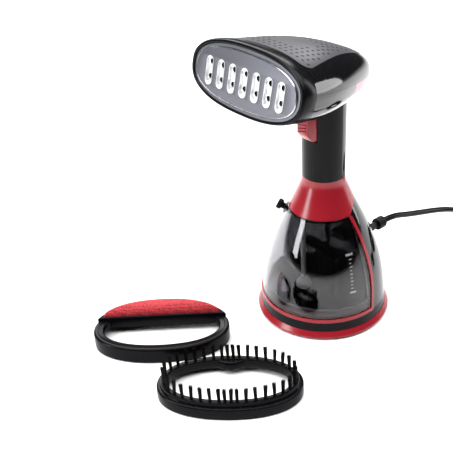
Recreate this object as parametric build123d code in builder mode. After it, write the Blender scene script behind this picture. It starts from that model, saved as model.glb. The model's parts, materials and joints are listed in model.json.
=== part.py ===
from build123d import *
import os
from math import cos, degrees, pi, radians, sin, sqrt, tan

# Handheld garment steamer with its cord and its two clip-on brushes. Millimetres, +Z up.
# The origin is the centre of the flat underside; the steam head faces -Y.
os.makedirs("parts", exist_ok=True)

# ---- Driving dimensions -------------------------------------------------------------------------
base_radius = 60.0  # red foot ring, at its widest
base_ring_height = 7.0
body_radius = 56.8  # lower body where it leaves the foot ring
band_top = 16.2  # top of the black band round the base
tank_top = 104.2  # seam between the tank and the red collar
neck_z = 135.5  # seam between the collar and the handle
handle_radius = 18.9
handle_top = 215.0  # the handle's shells end inside the head
wall = 2.2  # moulded shells
seam = 0.3  # gap between neighbouring shells

# How the lower body swells between the neck and the foot ring: (share of height, share of radius).
belly = ((0.14, 0.960), (0.319, 0.873), (0.506, 0.686), (0.685, 0.430), (0.833, 0.185), (0.911, 0.071))

# The tank's window runs round the front half; its upright edge bows back a little.
parting_low_y = 4.5
parting_mid_y = 7.3
parting_top_y = 1.0
window_corner = 12.0
trim_radius = 1.6  # red piping round the window
trim_stand = 1.0  # how far the piping stands out of the skin
trim_sink = 1.4
tank_back = 0.5  # outer face of the tank's flat rear wall

pump_bay_width = 38.0  # the bulkhead steps forward here, and the tank has a matching recess
pump_bay_top = 58.0
pump_bay_front = -6.0

filler_turn = 57.0  # degrees from the front, towards -X
filler_height = 97.5
filler_hole_radius = 4.2
filler_knob_radius = 5.6

head_width = 125.0
head_pitch = 13.3  # degrees; the steam plate looks forward and a little up
plate_centre_y = -85.0
plate_centre_z = 244.9
head_length = 128.0
bezel_depth = 12.0
plate_width = 116.4
plate_height = 47.8
plate_thickness = 3.0
slot_count = 7
slot_pitch = 13.2
slot_length = 22.0
slot_width = 7.0
slot_depth = 2.0
steam_hole_radius = 2.1
steam_hole_spacing = 11.4
steam_hole_lift = 1.2  # the holes sit a little above the slots' middle
squareness = 2.45  # exponent of the head's superelliptic sections

trigger_face_width = 12.0
trigger_root_width = 17.0
trigger_face_y = -26.0
trigger_low = 174.0
trigger_high = 203.0
trigger_pivot = (-9.5, 199.0)  # y, z
trigger_clearance = 0.5

cord_radius = 3.0
guard_z = 51.5
guard_reach = 21.0  # tapered guard, from the housing to the bushing
bushing_radius = 5.8
bushing_length = 9.5

brush_length = 121.0
brush_depth = 67.0
brush_band = 9.0
brush_skirt = 2.6  # thickness of the wall that clips round the bezel
brush_squareness = 2.15
lint_height = 14.5
lint_recess = 6.5  # depth of the hollow underside that takes the bezel
bristle_height = 10.5
bristle_recess = 5.0
ledge_height = 14.2  # the raised ledge that carries the tufts
ledge_inset = 3.4
tuft_height = 13.6
tuft_radius = 1.3


# ---- Shared shapes ------------------------------------------------------------------------------
def skin_solid(inset):
    """The lower body's whole volume, with its skin moved in by inset."""
    height = neck_z - base_ring_height
    swell = body_radius - handle_radius
    rings = [(body_radius - inset, base_ring_height)]
    rings += [(handle_radius + swell * r - inset, base_ring_height + height * h) for h, r in belly]
    rings += [(handle_radius - inset, neck_z)]
    with BuildPart() as body:
        with BuildSketch(Plane.XZ):
            with BuildLine():
                edge = Spline(*rings, tangents=((-0.04, 1), (0, 1)))
                Polyline(edge @ 1, (0, neck_z), (0, base_ring_height), edge @ 0)
            make_face()
        revolve(axis=Axis.Z)
    return body.part


def skin_radius(z):
    """Radius of the lower body's skin at height z, read from the belly's own points."""
    steps = [(0.0, 1.0), *belly, (1.0, 0.0)]
    share = (z - base_ring_height) / (neck_z - base_ring_height)
    for (h0, r0), (h1, r1) in zip(steps, steps[1:]):
        if share <= h1:
            part = r0 + (r1 - r0) * (share - h0) / (h1 - h0)
            return handle_radius + (body_radius - handle_radius) * part
    return handle_radius


def window_solid(grow):
    """The front of the body as far back as the tank's window goes, its edge moved out by grow."""
    reach = 2 * base_radius
    low = band_top + trim_radius + 0.1
    with BuildPart() as front:
        with BuildSketch(Plane.YZ):
            with BuildLine():
                side = ThreePointArc(
                    (parting_low_y, low),
                    (parting_mid_y, (low + tank_top) / 2 - 4),
                    (parting_top_y, tank_top),
                )
                Polyline(
                    side @ 1,
                    (parting_top_y, tank_top + 20),
                    (-reach, tank_top + 20),
                    (-reach, low),
                    side @ 0,
                )
            make_face()
            corner = vertices().sort_by(Axis.Z)[:2].sort_by(Axis.Y)[-1]
            fillet(corner, window_corner)
            if grow:
                offset(amount=grow)
        extrude(amount=reach, both=True)
    return front.part


def collar_solid():
    """Everything in front of the seam between the red collar and the rear housing."""
    reach = 2 * base_radius
    with BuildPart() as front:
        with BuildSketch(Plane.YZ):
            with BuildLine():
                bow = Spline(
                    (parting_top_y, tank_top),
                    (0.85 * handle_radius, tank_top + 0.34 * (neck_z - tank_top)),
                    (0.69 * handle_radius, neck_z),
                    tangents=((1, 0.9), (-0.05, 1)),
                )
                Polyline(bow @ 1, (-reach, neck_z), (-reach, tank_top), bow @ 0)
            make_face()
        extrude(amount=reach, both=True)
    return front.part


def block(x, y, z):
    """A box between three (low, high) pairs."""
    with BuildPart() as made:
        with BuildSketch(Plane.XY.offset(z[0])):
            with Locations(((x[0] + x[1]) / 2, (y[0] + y[1]) / 2)):
                Rectangle(x[1] - x[0], y[1] - y[0])
        extrude(amount=z[1] - z[0])
    return made.part


def rod(start, end, radius):
    """A round bar between two points."""
    start, end = Vector(*start), Vector(*end)
    with BuildPart() as bar:
        with BuildSketch(Plane(origin=start, z_dir=end - start)):
            Circle(radius)
        extrude(amount=(end - start).length)
    return bar.part


def head_plane(s):
    """The plane across the head, s behind the steam plate's face. Its y runs up the plate."""
    tilt = radians(head_pitch)
    origin = (0, plate_centre_y + s * cos(tilt), plate_centre_z - s * sin(tilt))
    return Plane(origin=origin, x_dir=(1, 0, 0), z_dir=(0, -cos(tilt), sin(tilt)))


def rounded(half_width, top, bottom, power=squareness, count=24):
    """Points of a superellipse whose upper and lower halves may differ in height."""
    middle = (top + bottom) / 2
    half = (top - bottom) / 2
    points = []
    for k in range(count):
        turn = 2 * pi * k / count
        c, s = cos(turn), sin(turn)
        x = half_width * abs(c) ** (2 / power) * (1 if c >= 0 else -1)
        y = half * abs(s) ** (2 / power) * (1 if s >= 0 else -1)
        points.append((x, middle + y))
    return points


# The head's outer shape: (share of its length, share of its half width, top, bottom).
head_sections = (
    (0.085, 1.000, 27.5, -26.5),
    (0.310, 0.900, 28.5, -26.0),
    (0.545, 0.735, 28.5, -21.5),
    (0.780, 0.520, 24.0, -16.0),
    (0.920, 0.350, 18.5, -12.5),
    (1.000, 0.200, 12.5, -7.0),
)


def head_solid(inset):
    """The head behind the bezel, with its skin moved in by inset."""
    with BuildPart() as body:
        for share, width, top, bottom in head_sections:
            s = share * head_length
            if share == head_sections[-1][0]:
                s -= inset
            if share == head_sections[0][0]:
                s = bezel_depth - (1.0 if inset else 0.0)
            with BuildSketch(head_plane(s)):
                with BuildLine():
                    Spline(
                        *rounded(width * head_width / 2 - inset, top - inset, bottom + inset),
                        periodic=True,
                    )
                make_face()
        loft()
    return body.part


def head_slab(u_low, u_high, s_low, s_high, half_width=100.0):
    """A box in the head's own frame: u up the plate, s back along the head."""
    with BuildPart() as slab:
        with BuildSketch(head_plane(s_low)):
            with Locations((0, (u_low + u_high) / 2)):
                Rectangle(2 * half_width, u_high - u_low)
        extrude(amount=-(s_high - s_low))
    return slab.part


def oval(half_width, half_height, s_front, s_back, power=squareness, drop=0.0):
    """A straight-sided superelliptic plug across the head."""
    with BuildPart() as plug:
        with BuildSketch(head_plane(s_front)):
            with BuildLine():
                Spline(*rounded(half_width, half_height - drop, -half_height - drop, power), periodic=True)
            make_face()
        extrude(amount=-(s_back - s_front))
    return plug.part


def head_point(x, u, s):
    """A point in the head's own frame, in the part's frame."""
    return head_plane(s).from_local_coords(Vector(x, u, 0))


def finish(piece, name):
    """Labels one finished piece and writes its STEP file."""
    piece.label = name
    export_step(piece, "parts/" + name + ".step")


skin = skin_solid(0)
skin_inside = skin_solid(wall)
skin_clear = skin_solid(wall + seam)
window = window_solid(0)
span = (-base_radius, base_radius)

# ---- Base ---------------------------------------------------------------------------------------
plate_radius = body_radius - 4.8
base_plate_thickness = 2.4
base_screw_circle = plate_radius - 8.0
base_screw_radius = 1.5
deck_thickness = 2.0

with BuildPart() as base_ring:
    with BuildSketch(Plane.XZ):
        with BuildLine():
            Polyline(
                (plate_radius, 0),
                (base_radius - 1.6, 0),
                (base_radius, 1.6),
                (base_radius, 3.0),
                (body_radius + 0.4, base_ring_height),
                (plate_radius, base_ring_height),
                (plate_radius, 0),
            )
        make_face()
    revolve(axis=Axis.Z)
    rims = edges().filter_by(GeomType.CIRCLE).group_by(SortBy.RADIUS)[-1]
    fillet(rims, 0.6)
finish(base_ring.part, "base_ring")

with BuildPart() as base_plate:
    with BuildSketch():
        Circle(plate_radius - 0.15)
    extrude(amount=base_plate_thickness)
    with Locations(Plane(origin=(0, 0, 0), z_dir=(0, 0, -1))):
        with PolarLocations(base_screw_circle, 4, start_angle=45):
            CounterBoreHole(base_screw_radius + 0.3, 3.4, 1.5, depth=base_plate_thickness)
finish(base_plate.part, "base_plate")

post_radius = 4.0
with BuildPart() as base_band:
    add(skin)
    add(block(span, span, (base_ring_height, band_top)), mode=Mode.INTERSECT)
    with BuildSketch(Plane.XY.offset(base_ring_height)):
        Circle(body_radius - 2 * wall)
    extrude(amount=band_top - base_ring_height - deck_thickness, mode=Mode.SUBTRACT)
    with BuildSketch(Plane.XY.offset(base_plate_thickness)):
        with PolarLocations(base_screw_circle, 4, start_angle=45):
            Circle(post_radius)
    extrude(amount=band_top - base_plate_thickness)
    with BuildSketch(Plane.XY.offset(base_plate_thickness)):
        with PolarLocations(base_screw_circle, 4, start_angle=45):
            Circle(base_screw_radius + 0.05)
    extrude(amount=9.0, mode=Mode.SUBTRACT)
finish(base_band.part, "base_band")

with BuildPart() as base_screws:
    with BuildSketch(Plane.XY.offset(0.3)):
        with PolarLocations(base_screw_circle, 4, start_angle=45):
            Circle(3.0)
    extrude(amount=1.2)
    with BuildSketch(Plane.XY.offset(1.5)):
        with PolarLocations(base_screw_circle, 4, start_angle=45):
            Circle(base_screw_radius)
    extrude(amount=8.0)
finish(base_screws.part, "base_screws")

# ---- Tank, its trim and what is in it -----------------------------------------------------------
tank_low = band_top + trim_radius + 0.1
bay_x = (-pump_bay_width / 2, pump_bay_width / 2)

with BuildPart() as trim_zone:
    add(skin_solid(-trim_stand))
    add(skin_solid(trim_sink), mode=Mode.SUBTRACT)
    add(window_solid(trim_radius), mode=Mode.INTERSECT)
    add(window_solid(-trim_radius), mode=Mode.SUBTRACT)
    add(block((-100, 100), (-100, 100), (band_top + 0.05, tank_top)), mode=Mode.INTERSECT)
finish(trim_zone.part, "tank_trim")

filler_tilt = degrees(
    (skin_radius(filler_height - 6) - skin_radius(filler_height + 6)) / 12
)
filler_out = Vector(
    -sin(radians(filler_turn)) * cos(radians(filler_tilt)),
    -cos(radians(filler_turn)) * cos(radians(filler_tilt)),
    sin(radians(filler_tilt)),
)
filler_seat = Vector(
    -sin(radians(filler_turn)) * skin_radius(filler_height),
    -cos(radians(filler_turn)) * skin_radius(filler_height),
    filler_height,
)


def on_filler(distance):
    """A point on the filler's axis, distance out from the tank's skin."""
    return tuple(filler_seat + filler_out * distance)


filler_land = 1.0  # a flat rim stands round the filler hole
tube_x, tube_y = -8.0, -17.0
tube_radius = 2.4

with BuildPart() as tank:
    add(skin)
    add(window, mode=Mode.INTERSECT)
    add(block((-100, 100), (-100, 100), (tank_low, tank_top - seam)), mode=Mode.INTERSECT)
    add(rod(on_filler(-8), on_filler(filler_land), filler_hole_radius + 2.0))
    hollow = skin_inside & block(span, (-base_radius, tank_back - wall), (tank_low + wall, tank_top - seam - wall))
    hollow -= block(
        (bay_x[0] - seam - wall, bay_x[1] + seam + wall),
        (pump_bay_front - seam - wall, tank_back),
        (0, pump_bay_top + seam + wall),
    )
    add(hollow, mode=Mode.SUBTRACT)
    add(skin_inside & block(span, (tank_back, base_radius), (0, tank_top)), mode=Mode.SUBTRACT)
    add(
        block(
            (bay_x[0] - seam, bay_x[1] + seam),
            (pump_bay_front - seam, tank_back + 20),
            (0, pump_bay_top + seam),
        ),
        mode=Mode.SUBTRACT,
    )
    add(trim_zone.part, mode=Mode.SUBTRACT)
    add(rod(on_filler(-12), on_filler(filler_land + 1), filler_hole_radius), mode=Mode.SUBTRACT)
    add(rod((tube_x, tube_y, tank_top - 6), (tube_x, tube_y, tank_top + 1), tube_radius + 1.5), mode=Mode.SUBTRACT)
finish(tank.part, "water_tank")

outlet_z = tank_top - seam - wall
with BuildPart() as tank_outlet:
    with BuildSketch(Plane.XY.offset(outlet_z - 3)):
        with Locations((tube_x, tube_y)):
            Circle(tube_radius + 3.2)
            Circle(tube_radius, mode=Mode.SUBTRACT)
    extrude(amount=3.0)
    with BuildSketch(Plane.XY.offset(outlet_z)):
        with Locations((tube_x, tube_y)):
            Circle(tube_radius + 1.4)
            Circle(tube_radius, mode=Mode.SUBTRACT)
    extrude(amount=8.0)
finish(tank_outlet.part, "tank_outlet")

filter_low = tank_low + wall + 1.0
filter_height = 11.0
with BuildPart() as suction_tube:
    with BuildSketch(Plane.XY.offset(filter_low + filter_height - 3)):
        with Locations((tube_x, tube_y)):
            Circle(tube_radius - 0.05)
            Circle(tube_radius - 1.0, mode=Mode.SUBTRACT)
    extrude(amount=outlet_z + 4 - (filter_low + filter_height - 3))
finish(suction_tube.part, "suction_tube")

with BuildPart() as tank_filter:
    with BuildSketch(Plane(origin=(tube_x, tube_y, 0), x_dir=(1, 0, 0), z_dir=(0, -1, 0))):
        with BuildLine():
            Polyline(
                (0, filter_low),
                (5.5, filter_low),
                (7.0, filter_low + 1.5),
                (7.0, filter_low + 5.0),
                (3.6, filter_low + filter_height),
                (0, filter_low + filter_height),
                (0, filter_low),
            )
        make_face()
    revolve(axis=Axis((tube_x, tube_y, 0), (0, 0, 1)))
    add(rod((tube_x, tube_y, filter_low + filter_height - 3), (tube_x, tube_y, filter_low + 20), tube_radius), mode=Mode.SUBTRACT)
finish(tank_filter.part, "tank_filter")

vent = (22.0, 84.0)  # x, z of the air valve on the tank's rear wall
with BuildPart() as tank_valve:
    with BuildSketch(Plane(origin=(vent[0], tank_back - wall, vent[1]), x_dir=(1, 0, 0), z_dir=(0, -1, 0))):
        RectangleRounded(17.0, 7.0, 3.0)
    extrude(amount=4.0)
    fillet(faces().sort_by(Axis.Y)[0].edges(), 1.2)
finish(tank_valve.part, "tank_valve")

with BuildPart() as tank_seal:
    add(skin_solid(0.4))
    add(skin_solid(wall), mode=Mode.SUBTRACT)
    add(block((-100, 100), (-100, parting_top_y - 2), (tank_top - seam, tank_top + 0.5)), mode=Mode.INTERSECT)
finish(tank_seal.part, "tank_seal")

# ---- Filler plug --------------------------------------------------------------------------------
plug_seat = filler_land + 0.15
with BuildPart() as filler_plug:
    add(rod(on_filler(plug_seat), on_filler(plug_seat + 3.2), filler_knob_radius - 2.0))
    add(rod(on_filler(plug_seat + 3.2), on_filler(plug_seat + 8.2), filler_knob_radius))
    add(rod(on_filler(-7), on_filler(plug_seat), filler_hole_radius - 0.35))
finish(filler_plug.part, "filler_plug")

# ---- Collar, rear housing, bulkhead -------------------------------------------------------------
collar_front = collar_solid()
with BuildPart() as collar:
    add(skin)
    add(skin_inside, mode=Mode.SUBTRACT)
    add(block((-100, 100), (-100, 100), (tank_top + 0.5, neck_z)), mode=Mode.INTERSECT)
    add(collar_front, mode=Mode.INTERSECT)
    add(rod(on_filler(-12), on_filler(filler_land + 6), filler_hole_radius + 2.6), mode=Mode.SUBTRACT)
finish(collar.part, "collar")

guard_root = skin_radius(guard_z) - wall
with BuildPart() as rear_housing:
    add(skin)
    add(skin_inside, mode=Mode.SUBTRACT)
    add(block((-100, 100), (-100, 100), (band_top, neck_z)), mode=Mode.INTERSECT)
    add(window_solid(0.02) & block((-200, 200), (-200, 200), (0, tank_top)), mode=Mode.SUBTRACT)
    add(collar_front, mode=Mode.SUBTRACT)
    add(block((-100, 100), (-100, parting_low_y - window_corner), (0, neck_z + 1)), mode=Mode.SUBTRACT)
    add(trim_zone.part, mode=Mode.SUBTRACT)
    add(rod((0, guard_root - 6, guard_z), (0, guard_root + 20, guard_z), 5.0), mode=Mode.SUBTRACT)
finish(rear_housing.part, "rear_housing")

bulkhead_y = tank_back + seam
bulkhead_wall = 2.0
with BuildPart() as bulkhead:
    add(skin_clear & block(span, (bulkhead_y, bulkhead_y + bulkhead_wall), (band_top, tank_top - 1)))
    add(block(bay_x, (pump_bay_front, bulkhead_y + bulkhead_wall), (band_top, pump_bay_top)))
    add(
        block(
            (bay_x[0] + bulkhead_wall, bay_x[1] - bulkhead_wall),
            (pump_bay_front + bulkhead_wall, bulkhead_y + bulkhead_wall + 1),
            (band_top - 1, pump_bay_top - bulkhead_wall),
        ),
        mode=Mode.SUBTRACT,
    )
finish(bulkhead.part, "bulkhead")

# ---- Pump and wiring in the rear housing --------------------------------------------------------
pump_y = 9.0
pump_radius = 12.5
with BuildPart() as pump:
    with BuildSketch(Plane.XY.offset(band_top)):
        with Locations((0, pump_y)):
            Circle(pump_radius)
    extrude(amount=26.0)
    with BuildSketch(Plane.XY.offset(band_top + 26.0)):
        with Locations((0, pump_y)):
            RectangleRounded(18, 14, 2)
    extrude(amount=8.0)
finish(pump.part, "pump")

spigot_x = 4.5
with BuildPart() as pump_spigots:
    with BuildSketch(Plane.XY.offset(band_top + 34.0)):
        with Locations((-spigot_x, pump_y), (spigot_x, pump_y)):
            Circle(1.8)
    extrude(amount=3.5)
finish(pump_spigots.part, "pump_spigots")

with BuildPart() as terminal_block:
    with BuildSketch(Plane.XY.offset(band_top + 12)):
        with Locations((24, 16)):
            RectangleRounded(14, 10, 1)
    extrude(amount=22.0)
    with BuildSketch(Plane.XY.offset(band_top)):
        with Locations((24, 16)):
            Rectangle(8, 5)
    extrude(amount=12.0)
finish(terminal_block.part, "terminal_block")

# ---- Cord guard and bushing ---------------------------------------------------------------------
guard_y = skin_radius(guard_z)
neck_radius = 2.7
bushing_y = guard_y + guard_reach
with BuildPart() as cord_guard:
    with BuildSketch(Plane(origin=(0, guard_y - 3, guard_z), x_dir=(1, 0, 0), z_dir=(0, 1, 0))):
        Circle(7.0)
    with BuildSketch(Plane(origin=(0, bushing_y, guard_z), x_dir=(1, 0, 0), z_dir=(0, 1, 0))):
        Circle(neck_radius)
    loft()
    add(skin_solid(-0.05), mode=Mode.SUBTRACT)
    add(rod((0, guard_y - 6, guard_z), (0, guard_y + 3, guard_z), 4.95))
finish(cord_guard.part, "cord_guard")

exit_y = bushing_y + bushing_length
with BuildPart() as cord_bushing:
    add(rod((0, bushing_y, guard_z), (0, exit_y, guard_z), bushing_radius))
    fillet(edges().filter_by(GeomType.CIRCLE), 1.0)
finish(cord_bushing.part, "cord_bushing")

# ---- Handle -------------------------------------------------------------------------------------
handle_split = 2.6
slot_half = trigger_root_width / 2 + trigger_clearance
slot_z = (trigger_low - 1.3, trigger_high + 4.0)


def handle_shell(y_low, y_high):
    """One half of the handle's tube."""
    with BuildPart() as half:
        with BuildSketch(Plane.XY.offset(neck_z)):
            Circle(handle_radius)
            Circle(handle_radius - wall, mode=Mode.SUBTRACT)
            with Locations((0, (y_low + y_high) / 2)):
                Rectangle(4 * handle_radius, y_high - y_low, mode=Mode.INTERSECT)
        extrude(amount=handle_top - neck_z)
    return half.part


with BuildPart() as handle_front:
    add(handle_shell(-30, handle_split - 0.1))
    add(block((-slot_half, slot_half), (-30, -8), slot_z), mode=Mode.SUBTRACT)
finish(handle_front.part, "handle_front")

handle_screw_z = (neck_z + 10, neck_z + 58)
with BuildPart() as handle_rear:
    add(handle_shell(handle_split + 0.1, 30))
    for z in handle_screw_z:
        add(rod((0, handle_radius - 6, z), (0, handle_radius + 2, z), 1.55), mode=Mode.SUBTRACT)
        add(rod((0, handle_radius - 1.4, z), (0, handle_radius + 2, z), 3.1), mode=Mode.SUBTRACT)
finish(handle_rear.part, "handle_rear")

with BuildPart() as handle_screws:
    for z in handle_screw_z:
        add(rod((0, handle_radius - 1.4, z), (0, handle_radius - 0.5, z), 2.9))
        add(rod((0, handle_radius - 12, z), (0, handle_radius - 1.4, z), 1.5))
finish(handle_screws.part, "handle_screws")

with BuildPart() as handle_spine:
    add(block((-11, 11), (1.5, 3.5), (neck_z + 2, handle_top - 12)))
    for z in handle_screw_z:
        add(rod((0, 3.5, z), (0, handle_radius - wall - 0.7, z), 3.4))
        add(rod((0, 3.0, z), (0, handle_radius, z), 1.55), mode=Mode.SUBTRACT)
finish(handle_spine.part, "handle_spine")

# ---- Trigger ------------------------------------------------------------------------------------
pivot_y, pivot_z = trigger_pivot
pin_radius = 1.5
trigger_back = -6.8
with BuildPart() as trigger:
    with BuildSketch(Plane.XY.offset(trigger_low)):
        with BuildLine():
            Polyline(
                (-trigger_face_width / 2, trigger_face_y),
                (trigger_face_width / 2, trigger_face_y),
                (trigger_root_width / 2, -handle_radius + 2),
                (trigger_root_width / 2, trigger_back),
                (-trigger_root_width / 2, trigger_back),
                (-trigger_root_width / 2, -handle_radius + 2),
                (-trigger_face_width / 2, trigger_face_y),
            )
        make_face()
    extrude(amount=trigger_high - trigger_low)
    with BuildSketch(Plane.YZ):
        with BuildLine():
            Polyline(
                (trigger_face_y + 1.2, trigger_high),
                (trigger_face_y, trigger_low + 7),
                (trigger_face_y + 5.5, trigger_low),
                (-13.5, trigger_low),
                (-9.2, trigger_low + 8),
                (-9.2, pivot_z - 8),
                (trigger_back, pivot_z - 3),
                (trigger_back, trigger_high),
                (trigger_face_y + 1.2, trigger_high),
            )
        make_face()
    extrude(amount=20, both=True, mode=Mode.INTERSECT)
    add(rod((-20, pivot_y, pivot_z), (20, pivot_y, pivot_z), pin_radius + 0.05), mode=Mode.SUBTRACT)
    for k in range(5):
        rib_z = trigger_low + 9 + 3.2 * k
        rib_y = trigger_face_y + 1.2 * (rib_z - trigger_low - 7) / (trigger_high - trigger_low - 7)
        add(block((-4.6, 4.6), (rib_y - 0.7, rib_y + 0.6), (rib_z, rib_z + 1.2)))
finish(trigger.part, "trigger")

bracket_x = trigger_root_width / 2 + 1.0
with BuildPart() as trigger_pin:
    add(rod((-bracket_x - 1.5, pivot_y, pivot_z), (bracket_x + 1.5, pivot_y, pivot_z), pin_radius))
finish(trigger_pin.part, "trigger_pin")

with BuildPart() as trigger_bracket:
    for side in (-1, 1):
        inner, outer = side * bracket_x, side * (bracket_x + 1.6)
        add(block((min(inner, outer), max(inner, outer)), (-11.8, 1.3), (pivot_z - 3, pivot_z + 4)))
    add(block((-bracket_x - 1.6, bracket_x + 1.6), (-1.0, 1.3), (pivot_z - 3, pivot_z + 4)))
    add(rod((-20, pivot_y, pivot_z), (20, pivot_y, pivot_z), pin_radius), mode=Mode.SUBTRACT)
finish(trigger_bracket.part, "trigger_bracket")

switch_z = (trigger_low + 1.0, trigger_low + 11.0)
with BuildPart() as micro_switch:
    add(block((-3.2, 3.2), (-5.9, 1.3), switch_z))
    add(block((-1.2, 1.2), (-6.9, -5.9), (switch_z[0] + 5, switch_z[0] + 7.5)))
finish(micro_switch.part, "micro_switch")

spring_z = switch_z[1] + 4.5
spring_start = -7.0
spring_length = 8.0
spring_radius = 2.2
wire_radius = 0.3
with BuildPart() as trigger_spring:
    with BuildLine():
        turns = Helix(
            pitch=spring_length / 5,
            height=spring_length,
            radius=spring_radius,
            center=(0, spring_start, spring_z),
            direction=(0, 1, 0),
        )
    with BuildSketch(Plane(origin=turns @ 0, z_dir=turns % 0)):
        Circle(wire_radius)
    sweep(path=turns, is_frenet=True)
finish(trigger_spring.part, "trigger_spring")

with BuildPart() as circuit_board:
    add(block((-8, 8), (-0.3, 1.3), (neck_z + 6, neck_z + 34)))
    add(block((-6, 1), (-5.5, -0.3), (neck_z + 9, neck_z + 18)))
    add(block((3, 7), (-3.5, -0.3), (neck_z + 20, neck_z + 31)))
finish(circuit_board.part, "circuit_board")

# ---- Steam plate, gasket and bezel --------------------------------------------------------------
half_w, half_h = plate_width / 2, plate_height / 2
raise_inset = 4.6
raise_height = 1.2
gasket_thickness = 1.2
ledge = 4.2
slot_centre = -1.15  # the row of slots sits a little below the plate's centre

with BuildPart() as steam_plate:
    add(oval(half_w, half_h, 0, plate_thickness))
    add(oval(half_w - raise_inset, half_h - raise_inset, -raise_height, 0))
    with BuildSketch(head_plane(-raise_height)):
        with Locations((0, slot_centre)):
            with GridLocations(slot_pitch, 1, slot_count, 1):
                SlotOverall(slot_length, slot_width, rotation=90)
    extrude(amount=-slot_depth, mode=Mode.SUBTRACT)
    with BuildSketch(head_plane(-raise_height)):
        with Locations((0, slot_centre + steam_hole_lift)):
            with GridLocations(slot_pitch, steam_hole_spacing, slot_count, 2):
                Circle(steam_hole_radius)
    extrude(amount=-(plate_thickness + raise_height), mode=Mode.SUBTRACT)
finish(steam_plate.part, "steam_plate")

with BuildPart() as plate_gasket:
    add(oval(half_w - 0.2, half_h - 0.2, plate_thickness, plate_thickness + gasket_thickness))
    add(oval(half_w - ledge, half_h - ledge, 0, 10), mode=Mode.SUBTRACT)
finish(plate_gasket.part, "plate_gasket")

ledge_s = plate_thickness + gasket_thickness
bezel_sections = ((-1.0, 0.974, -1.0), (2.0, 0.989, -0.4), (bezel_depth - 0.15, 1.0, 0.0))
first_top, first_bottom = head_sections[0][2], head_sections[0][3]
with BuildPart() as bezel:
    for s, width, shrink in bezel_sections:
        with BuildSketch(head_plane(s)):
            with BuildLine():
                Spline(
                    *rounded(width * head_width / 2, first_top + shrink, first_bottom - shrink),
                    periodic=True,
                )
            make_face()
    loft()
    add(oval(half_w + 0.15, half_h + 0.15, -5, ledge_s), mode=Mode.SUBTRACT)
    add(oval(half_w - ledge, half_h - ledge, -5, 20), mode=Mode.SUBTRACT)
    add(oval(half_w + 0.4, half_h + 0.4, ledge_s + 2, 20), mode=Mode.SUBTRACT)
    add(head_slab(first_top - 2.2, first_top + 5, 3.6, 7.0, 12.0), mode=Mode.SUBTRACT)
finish(bezel.part, "bezel")

with BuildPart() as latch_insert:
    add(head_slab(first_top - 2.1, first_top - 1.2, 3.8, 6.8, 11.8))
finish(latch_insert.part, "latch_insert")

# ---- Head shells --------------------------------------------------------------------------------
head_shell = head_solid(0) - head_solid(wall)
waist_low, waist_high = -3.0, 5.0
accent_start = 0.60 * head_length
cover_front = bezel_depth + 0.4
cover_rear = 0.86 * head_length
cover_half_front = head_width / 2 - 13.5
cover_half_rear = 15.5


def cover_zone(grow):
    """The part of the head that the perforated cover takes, its edge moved out by grow."""
    up = Plane(origin=head_point(0, 0, 0), x_dir=(1, 0, 0), z_dir=head_point(0, 1, 0) - head_point(0, 0, 0))
    with BuildPart() as zone:
        with BuildSketch(up.offset(waist_high + 3)):
            with BuildLine():
                Polyline(
                    (-cover_half_front, cover_front),
                    (cover_half_front, cover_front),
                    (cover_half_rear, cover_rear),
                    (-cover_half_rear, cover_rear),
                    (-cover_half_front, cover_front),
                )
            make_face()
            fillet(vertices(), 7.0)
            if grow:
                offset(amount=grow)
        extrude(amount=60)
    return zone.part


hole_pitch = 5.0
with BuildPart() as head_cover:
    add(head_shell)
    add(cover_zone(-0.3), mode=Mode.INTERSECT)
finish(head_cover.part, "head_cover")

with BuildPart() as head_body:
    add(head_shell)
    add(head_slab(waist_high, 60, -10, 2 * head_length), mode=Mode.INTERSECT)
    add(cover_zone(0.0), mode=Mode.SUBTRACT)
finish(head_body.part, "head_body")

with BuildPart() as head_waist:
    add(head_shell)
    add(head_slab(waist_low, waist_high - 0.1, -10, accent_start), mode=Mode.INTERSECT)
finish(head_waist.part, "head_waist")

with BuildPart() as rear_accent:
    add(head_shell)
    add(head_slab(waist_low, waist_high - 0.1, accent_start + 0.1, 2 * head_length), mode=Mode.INTERSECT)
finish(rear_accent.part, "rear_accent")

neck_bore = rod((0, 0, neck_z), (0, 0, handle_top + 60), handle_radius + 0.15)
with BuildPart() as head_lower:
    add(head_shell)
    add(head_slab(-60, waist_low - 0.1, -10, 2 * head_length), mode=Mode.INTERSECT)
    add(neck_bore, mode=Mode.SUBTRACT)
finish(head_lower.part, "head_lower")

# ---- Boiler and its fittings --------------------------------------------------------------------
boiler_back = 22.0
boiler_half_w = half_w - ledge - 4.0
boiler_half_h = half_h - ledge - 2.5
with BuildPart() as boiler:
    add(oval(boiler_half_w, boiler_half_h, plate_thickness + 0.05, boiler_back))
    add(oval(boiler_half_w - 5, boiler_half_h - 4, plate_thickness, 10), mode=Mode.SUBTRACT)
finish(boiler.part, "boiler")

element_radius = 3.2
element_s = boiler_back + element_radius + 0.05
element_u = 8.0
with BuildPart() as heating_element:
    with BuildLine():
        bend = FilletPolyline(
            head_point(-30, -element_u, element_s),
            head_point(34, -element_u, element_s),
            head_point(34, element_u, element_s),
            head_point(-30, element_u, element_s),
            radius=element_u - 0.5,
        )
    with BuildSketch(Plane(origin=bend @ 0, z_dir=bend % 0)):
        Circle(element_radius)
    sweep(path=bend)
finish(heating_element.part, "heating_element")

with BuildPart() as thermostat:
    add(rod(head_point(-40, 0, boiler_back), head_point(-40, 0, boiler_back + 7), 5.5))
    add(rod(head_point(-40, 0, boiler_back + 7), head_point(-40, 0, boiler_back + 10), 3.5))
finish(thermostat.part, "thermostat")

with BuildPart() as thermal_fuse:
    add(rod(head_point(-12, 0, boiler_back + 2.2), head_point(12, 0, boiler_back + 2.2), 2.1))
finish(thermal_fuse.part, "thermal_fuse")

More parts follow.
